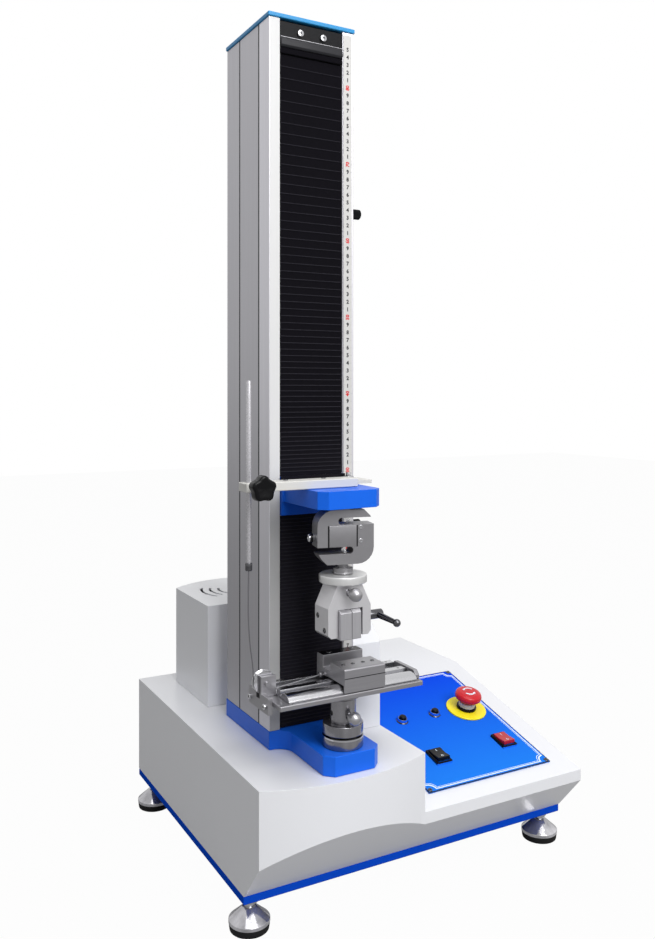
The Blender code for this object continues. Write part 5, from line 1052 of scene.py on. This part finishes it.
def build_pulley():
    """A ridged pulley: rims, a round groove for the wire and a bored hub, the same on both sides."""
    half, step = 0.0040, 0.0006
    bore, hub, rim, well = 0.0034, 0.0056, 0.0134, 0.0126
    near = [(bore, half - step), (hub, half - step), (0.0060, half), (0.0132, half), (rim, half - step)]
    near += [(rim, 0.0028), (well, 0.0024), (well, 0.0019)]
    groove = [(well - 0.0014 * math.sin(a), 0.0013 * math.cos(a)) for a in np.linspace(0, math.pi, 9)]
    rows = near + groove + [(radius, -height) for radius, height in reversed(near)]
    place = at(*node_middle("wire_pulley")) @ FRONT_TURN
    add_turned("wire_pulley_form", rows, place, 96, "chrome", "wire_pulley", ["wire_pulley"],
               ring=True)


# Pull wire


def smooth_route(points, steps=10):
    """Points on a Catmull-Rom curve through the route's own points."""
    points = np.asarray(points, float)
    ends = np.vstack([2 * points[0] - points[1], points, 2 * points[-1] - points[-2]])
    a, b, c, d = ends[:-3, None], ends[1:-2, None], ends[2:-1, None], ends[3:, None]
    t = (np.arange(steps) / steps)[None, :, None]
    route = 2 * b + (c - a) * t + (2 * a - 5 * b + 4 * c - d) * t**2 + (3 * b - a - 3 * c + d) * t**3
    return np.vstack([(route / 2).reshape(-1, 3), points[-1:]])


def add_wire(name, path, replaces):
    """A stretch of the wire: a tube along its path from one place to another, on no body."""
    piece = add_piece(name, [tube_shape(path, WIRE_RADIUS, 10)], "wire_steel", None, [replaces])
    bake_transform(piece)


def build_wires():
    """The wire hangs slack from the rod's ferrule, goes under the pulley and on to the slider."""
    x, y, z = PULLEY_MIDDLE
    route = [
        ROD_END,
        (-0.2394, -0.1730, 0.4053),
        (-0.2400, -0.1745, 0.3779),
        (-0.2390, -0.1765, 0.3485),
        (-0.2369, -0.1793, 0.3242),
        (-0.2362, -0.1800, 0.3110),
        (x - AROUND, y, z),
    ]
    turn = np.linspace(-math.pi, math.radians(-82), 25)[1:]
    bend = np.stack([x + AROUND * np.cos(turn), np.full(24, y), z + AROUND * np.sin(turn)], axis=1)
    whole = np.vstack([smooth_route(route), bend])
    split = int(np.argmin(np.abs(whole[:60, 2] - WIRE_SPLIT_Z)))
    upper, lower = whole[: split + 1], whole[split:]
    add_wire("pull_wire_lead", upper, "pull_wire_drop")
    add_wire("pull_wire_slack", lower, "pull_wire_drop")
    gap = 0.0003
    anchor = np.array([SLIDER_LEFT - 0.0080 - gap, WIRE_Y, WIRE_NUT_Z])
    start = bend[-1] + (anchor - bend[-1]) / np.linalg.norm(anchor - bend[-1]) * gap
    run = start + (anchor - start) * np.linspace(0, 1, 25)[:, None]
    add_wire("pull_wire_taut", run, "pull_wire_run")


# Console


def on_panel(x, y, height=0.0):
    """A frame on top of the control panel at a plan position: own +Z is the panel's normal."""
    slope_z = 0.1169 + (y + 0.2135) * math.tan(SLOPE)
    return at(x, y, slope_z) @ Matrix.Rotation(SLOPE, 4, "X") @ at(0, 0, 0.0023 + height)


def notched(inset):
    """The plate's outline, drawn in, with a round notch out of each corner."""
    half_x, half_y = PANEL_HALF_X - inset, PANEL_HALF_Y - inset
    outline = []
    for way_x, way_y, start in ((1, 1, -90), (-1, 1, 0), (-1, -1, 90), (1, -1, 180)):
        x, y = half_x * way_x, half_y * way_y
        turn = np.radians(np.linspace(start, start - 90, 9))
        outline.append(np.stack([x + NOTCH * np.cos(turn), y + NOTCH * np.sin(turn)], axis=1))
    return np.concatenate(outline)


def frame_shape(outer, inner, low, high):
    """A flat frame between two outlines with as many points each."""
    rows = [(outer, low), (outer, high), (inner, high), (inner, low)]
    points = np.array([np.column_stack([line, np.full(len(line), height)]) for line, height in rows])
    return grid_shape(points, wrap_rows=True, wrap_columns=True)


def centred(half_x, half_y):
    """A rectangle's outline about its own middle."""
    return box_outline((-half_x, -half_y), (half_x, half_y))


def build_panel():
    """The printed plate, its double border, a painted shadow along its edge, corners and screws, and what is
    set in it.
    """
    rounded_copy("control_panel", "panel_blue", 0.0004, 1)
    centre = on_panel((PANEL_LEFT + PANEL_RIGHT) / 2, (PANEL_FRONT + PANEL_BACK) / 2)
    half = np.array([PANEL_HALF_X, PANEL_HALF_Y])
    corners = []
    for x, y in corner_spots(-half, half - NOTCH, 0):
        corners.append(placed(box_shape((x, y, -0.0020), (x + NOTCH, y + NOTCH, -0.00003)), centre))
    add_piece("panel_corners", corners, "panel_blue", "frame")
    # A dark band round the plate's edge: painted shadow
    edge = frame_shape(centred(*half + 0.0002), centred(*half - 0.0008), -0.0008, INK)
    add_piece("panel_edge", [placed(edge, centre)], "black_ink", "frame")
    insets = (0.0030, 0.0046), (0.0058, 0.0064)
    lines = [placed(frame_shape(notched(far), notched(near), -INK, INK), centre) for far, near in insets]
    add_piece("panel_border", lines, "pale_ink", "frame")
    places = [centre @ at(x, y, -0.0004) for x, y in corner_spots(-half, half, 0.0040)]
    add_screws("panel_screws", (0.0032, 0.0014, 0.0022, 0.0009), places, "dark_chrome", "frame")
    build_button("start", 0.0591, -0.0464)
    build_button("stop", 0.1162, -0.0464)
    build_rocker("power_rocker", 0.0616, -0.1320, "gloss_black")
    build_rocker("light_rocker", 0.1760, -0.1309, "lamp_red")


def build_button(name, x, y):
    """A push button: a stepped bezel and a flat cap."""
    bezel = [(0.0088, -0.0001), (0.0088, 0.0009), (0.0076, 0.0022), (0.0070, 0.0048), (0.0063, 0.0052),
             (0.0056, 0.0050), (0.0056, -0.0001)]
    add_turned(name + "_bezel", bezel, on_panel(x, y), 72, "dark_chrome", "frame", ring=True)
    cap = rod_rows([(0, 0.0029), (0.0049, 0.0029), (0.0049, 0.0078), (0.0036, 0.0087), (0, 0.0087)], 0.0005)
    node = name + "_button"
    add_turned(node + "_cap", cap, on_panel(x, y), 64, "gloss_black", node, [node])


def build_rocker(node, x, y, material):
    """A rocker switch: a two-step bezel, the rocker, and a stroke and a ring on its two ends."""
    outer = rounded(centred(0.0125, 0.0155), 0.0015)
    inner = rounded(centred(0.0099, 0.0134), 0.0006)
    low_step = frame_shape(outer, inner, -0.0001, 0.0031)
    high_step = frame_shape(drawn_in(outer, 0.0008), inner, 0.0030, 0.0037)
    bezel = [placed(step, on_panel(x, y)) for step in (low_step, high_step)]
    add_piece(node + "_bezel", bezel, "black_plastic", "frame")
    rounded_copy(node, material, 0.0007, 3)
    place = on_panel(x, y, 0.0045) @ Matrix.Rotation(math.radians(-8), 4, "X") @ at(0, 0, 0.0020)
    stroke = box_shape((-0.0004, -0.0022, -INK), (0.0004, 0.0022, INK))
    ring = spun([(0.0020, -INK), (0.0020, INK), (0.0014, INK), (0.0014, -INK)], 40, ring=True)
    lean = math.atan2(0.0010, 0.0122)
    marks = []
    for mark, way in ((stroke, 1), (ring, -1)):
        marks.append(placed(mark, place @ Matrix.Rotation(lean * way, 4, "X") @ at(0, 0.0075 * way, 0)))
    add_piece(node + "_marks", marks, "pale_ink", node)


def arc_points(radius, start, end, height, count=24):
    """Points (r cos a, r sin a, h) from one angle to another, in degrees."""
    turn = np.radians(np.linspace(start, end, count))
    return np.stack([radius * np.cos(turn), radius * np.sin(turn), np.full(count, height)], axis=1)


def arrow_shapes(start, lift):
    """A turn arrow: a slightly dished arc and a flat head."""
    rows = [
        arc_points(radius, start, start + 110, lift + height)
        for radius, height in ((0.0092, -0.0004), (0.0092, 0.0001), (0.0072, 0.0003), (0.0072, -0.0002))
    ]
    arc = grid_shape(np.array(rows).transpose(1, 0, 2), wrap_columns=True, cap_ends=True)
    root, tip = math.radians(start + 106), math.radians(start + 128)
    corners = (0.0104, root), (0.0082, tip), (0.0060, root)
    head = [(radius * math.cos(a), radius * math.sin(a)) for radius, a in corners]
    return [arc, bar_shape(head, lift - 0.0004, lift + 0.0002)]


def build_estop():
    """Yellow collar, grey neck on a black ring, and the red mushroom with two turn arrows."""
    place = on_panel(0.1718, -0.0495)
    bore = 0.0063
    collar = [(bore, 0.0003), (0.0300, 0.0003), (0.0300, 0.0022), (0.0292, 0.0028), (bore, 0.0028)]
    ring = [(bore, 0.0028), (0.0148, 0.0028), (0.0148, 0.0060), (0.0128, 0.0066), (bore, 0.0066)]
    neck = drum_rows(0.0124, 0.0066, 0.0133, 0.0003, bore)
    for name, rows, material, slot, replaces in (
        ("collar_plate", rod_rows(collar, 0.0005), "yellow_plastic", "yellow_plastic", ["estop_collar"]),
        ("ring", rod_rows(ring, 0.0004), "gloss_black", "black_plastic", []),
        ("neck", neck, "grey_plastic", "yellow_plastic", []),
    ):
        add_turned("estop_" + name, rows, place, 128, material, "frame", replaces, ring=True)
    stem, bottom = 0.0048, 0.0180
    top = bottom + 0.0125
    corners = [(0, stem), (0.0060, stem), (0.0060, bottom), (0.0165, bottom), (0.0192, bottom + 0.0012),
               (0.0200, top - 0.0075), (0.0188, top - 0.0032), (0.0140, top - 0.0009), (0, top)]
    cap = rod_rows(corners, [0, 0, 0, 0.0005, 0.0018, 0.004, 0.004, 0.008, 0], 4)
    button = "estop_button"
    add_turned("estop_button_cap", cap, place, 128, "red_plastic", button, [button])
    arrows = [placed(shape, place) for start in (20, 200) for shape in arrow_shapes(start, top - 0.0003)]
    add_piece("estop_arrows", arrows, "pale_ink", button)


# Inner pieces that stay as the frame has them


def build_inner_finishes():
    """Finishes for the nodes that keep their own solids."""
    for material, nodes in (
        ("brushed_steel", ("screw_bearing_bottom", "screw_bearing_top")),
        ("chrome", ("guide_rod_left", "guide_rod_right", "ball_screw")),
        ("satin_steel", ("screw_pulley", "motor_pulley", "carriage")),
        ("rubber", ("drive_belt",)),
        ("black_plastic", ("motor",)),
    ):
        for node in nodes:
            dress_solid(node, material)


# Stage


def add_lamp(name, spot, target, size, power):
    """A soft rectangular lamp that faces its target."""
    lamp = bpy.data.lights.new(name, "AREA")
    lamp.shape = "RECTANGLE"
    lamp.size, lamp.size_y = size
    lamp.energy = power * SIZES.light
    holder = bpy.data.objects.new(name, lamp)
    bpy.context.scene.collection.objects.link(holder)
    holder.location = spot
    holder.rotation_euler = (Vector(target) - Vector(spot)).to_track_quat("-Z", "Y").to_euler()


def ray_share(tree, camera, glossy, soft):
    """One number for what the camera sees, another for reflections and a third for soft light."""
    path = tree.nodes.new("ShaderNodeLightPath")
    mirrored = tree.nodes.new("ShaderNodeMix")
    seen = tree.nodes.new("ShaderNodeMix")
    for mixer, ray, value in ((mirrored, "Is Glossy Ray", glossy), (seen, "Is Camera Ray", camera)):
        tree.links.new(path.outputs[ray], mixer.inputs["Factor"])
        mixer.inputs["B"].default_value = value
    mirrored.inputs["A"].default_value = soft
    tree.links.new(mirrored.outputs["Result"], seen.inputs["A"])
    return seen.outputs["Result"]


def build_world():
    """White to the camera; a softer light, weaker from the left, in reflections and as fill."""
    world = bpy.data.worlds.new("studio")
    bpy.context.scene.world = world
    world.use_nodes = True
    tree = world.node_tree
    background = tree.nodes["Background"]
    places = tree.nodes.new("ShaderNodeTexCoord").outputs["Generated"]
    white = tree.nodes.new("ShaderNodeRGB")
    white.outputs["Color"].default_value = (1, 1, 1, 1)
    side = faded(tree, places, white.outputs["Color"], "X", -1.0, 0.4, 0.80, 1.02)
    path = tree.nodes.new("ShaderNodeLightPath")
    seen = tree.nodes.new("ShaderNodeMix")
    seen.data_type = "RGBA"
    seen.inputs["B"].default_value = (1, 1, 1, 1)
    tree.links.new(path.outputs["Is Camera Ray"], seen.inputs["Factor"])
    tree.links.new(side, seen.inputs["A"])
    tree.links.new(seen.outputs["Result"], background.inputs["Color"])
    tree.links.new(ray_share(tree, 1.0, 0.95, 0.42), background.inputs["Strength"])


def pale_floor():
    """A floor nearly as white as the world where it is seen, that takes the shadow and throws little back."""
    made = finish("pale_floor", (150, 150, 150), 0.8, vary=0.003, bump=0.0, specular=0.0)
    tree = made.node_tree
    glow = tree.nodes.new("ShaderNodeEmission")
    both = tree.nodes.new("ShaderNodeMixShader")
    tree.links.new(ray_share(tree, 0.975, 0.25, 0.0), both.inputs["Fac"])
    tree.links.new(tree.nodes["Principled BSDF"].outputs["BSDF"], both.inputs[1])
    tree.links.new(glow.outputs["Emission"], both.inputs[2])
    output = next(n for n in tree.nodes if n.type == "OUTPUT_MATERIAL")
    tree.links.new(both.outputs["Shader"], output.inputs["Surface"])
    glow.inputs["Strength"].default_value = 1.0
    return made


def build_stage():
    """The floor, the world, two lamps, and the camera where the photograph was taken from."""
    reach = 6
    corners = [[(x, y, 0) for x in (-reach, reach)] for y in (-reach, reach)]
    points, faces = grid_shape(np.array(corners, float))
    mesh = bpy.data.meshes.new("floor")
    mesh.from_pydata(points.tolist(), [], faces)
    floor = bpy.data.objects.new("floor", mesh)
    bpy.context.scene.collection.objects.link(floor)
    mesh.materials.append(pale_floor())
    build_world()
    add_lamp("key", (0.1, -2.6, 2.2), (0, 0, 0.4), (1.8, 1.6), 70)
    add_lamp("top", (-0.3, -1.0, 2.7), (0, 0, 0.3), (2.2, 2.2), 31)
    camera = bpy.data.cameras.new("camera")
    camera.sensor_width = 36
    camera.lens = 34.22
    camera.shift_y = -0.0825
    camera.clip_start = 0.01
    holder = bpy.data.objects.new("camera", camera)
    bpy.context.scene.collection.objects.link(holder)
    holder.location = (-0.6604, -1.1267, 0.6394)
    holder.rotation_euler = (math.radians(90), 0, math.radians(-28.89))
    bpy.context.scene.camera = holder
    bpy.context.scene.view_settings.view_transform = "Standard"


# Operators


class TESTER_OT_stage(bpy.types.Operator):
    """Adds the floor, the lamps and the camera"""

    bl_idname = "tester.stage"
    bl_label = "Stage"

    def execute(self, context):
        build_stage()
        return {"FINISHED"}


class TESTER_OT_wires(bpy.types.Operator):
    """Adds the pull wire in its three stretches"""

    bl_idname = "tester.wires"
    bl_label = "Pull wire"

    def execute(self, context):
        build_wires()
        return {"FINISHED"}


class TESTER_OT_base(bpy.types.Operator):
    """Adds the housing, base plate, motor cover, feet and mains inlet"""

    bl_idname = "tester.base"
    bl_label = "Base"

    def execute(self, context):
        build_housing()
        build_feet()
        build_inlet()
        return {"FINISHED"}


class TESTER_OT_column(bpy.types.Operator):
    """Adds the column, its rule, bellows, clamp and limit stops"""

    bl_idname = "tester.column"
    bl_label = "Column"

    def execute(self, context):
        build_column()
        build_rule()
        build_bellows()
        build_clamp()
        build_stops()
        return {"FINISHED"}


class TESTER_OT_crosshead(bpy.types.Operator):
    """Adds the crosshead, its bar, knob, rod, load cell and grip"""

    bl_idname = "tester.crosshead"
    bl_label = "Crosshead"

    def execute(self, context):
        build_crosshead()
        build_star_knob()
        build_pull_rod()
        build_load_cell()
        build_grip()
        return {"FINISHED"}


class TESTER_OT_fixture(bpy.types.Operator):
    """Adds the lower adapter and the peel fixture"""

    bl_idname = "tester.fixture"
    bl_label = "Peel fixture"

    def execute(self, context):
        build_adapter()
        build_fixture()
        return {"FINISHED"}


class TESTER_OT_console(bpy.types.Operator):
    """Adds the control panel, its switches and the emergency stop"""

    bl_idname = "tester.console"
    bl_label = "Console"

    def execute(self, context):
        build_panel()
        build_estop()
        return {"FINISHED"}


class TESTER_OT_inner(bpy.types.Operator):
    """Finishes the drive inside the column and the base"""

    bl_idname = "tester.inner"
    bl_label = "Drive"

    def execute(self, context):
        build_inner_finishes()
        return {"FINISHED"}


STEPS = (
    TESTER_OT_stage,
    TESTER_OT_wires,
    TESTER_OT_base,
    TESTER_OT_column,
    TESTER_OT_crosshead,
    TESTER_OT_fixture,
    TESTER_OT_console,
    TESTER_OT_inner,
)


class TESTER_PT_sidebar(bpy.types.Panel):
    """Lists the steps, the sizes and the colours"""

    bl_label = "Tensile tester"
    bl_idname = "TESTER_PT_sidebar"
    bl_space_type = "VIEW_3D"
    bl_region_type = "UI"
    bl_category = "Tester"

    def draw(self, context):
        for group in (context.scene.tester_sizes, context.scene.tester_colours):
            for name in group.bl_rna.properties.keys():
                if name not in ("rna_type", "name"):
                    self.layout.prop(group, name)
        for step in STEPS:
            self.layout.operator(step.bl_idname)


CLASSES = (TesterColours, TesterSizes, *STEPS, TESTER_PT_sidebar)


def register():
    """Adds the classes and the scene's two groups of settings."""
    for made in CLASSES:
        bpy.utils.register_class(made)
    bpy.types.Scene.tester_colours = bpy.props.PointerProperty(type=TesterColours)
    bpy.types.Scene.tester_sizes = bpy.props.PointerProperty(type=TesterSizes)


def unregister():
    """Takes away what register added."""
    del bpy.types.Scene.tester_colours
    del bpy.types.Scene.tester_sizes
    for made in reversed(CLASSES):
        bpy.utils.unregister_class(made)


def main():
    """Runs every step with the default settings."""
    global PALETTE, SIZES
    register()
    PALETTE = bpy.context.scene.tester_colours
    SIZES = bpy.context.scene.tester_sizes
    for step in STEPS:
        name = step.bl_idname.split(".")[1]
        getattr(bpy.ops.tester, name)()


if __name__ == "__main__":
    main()
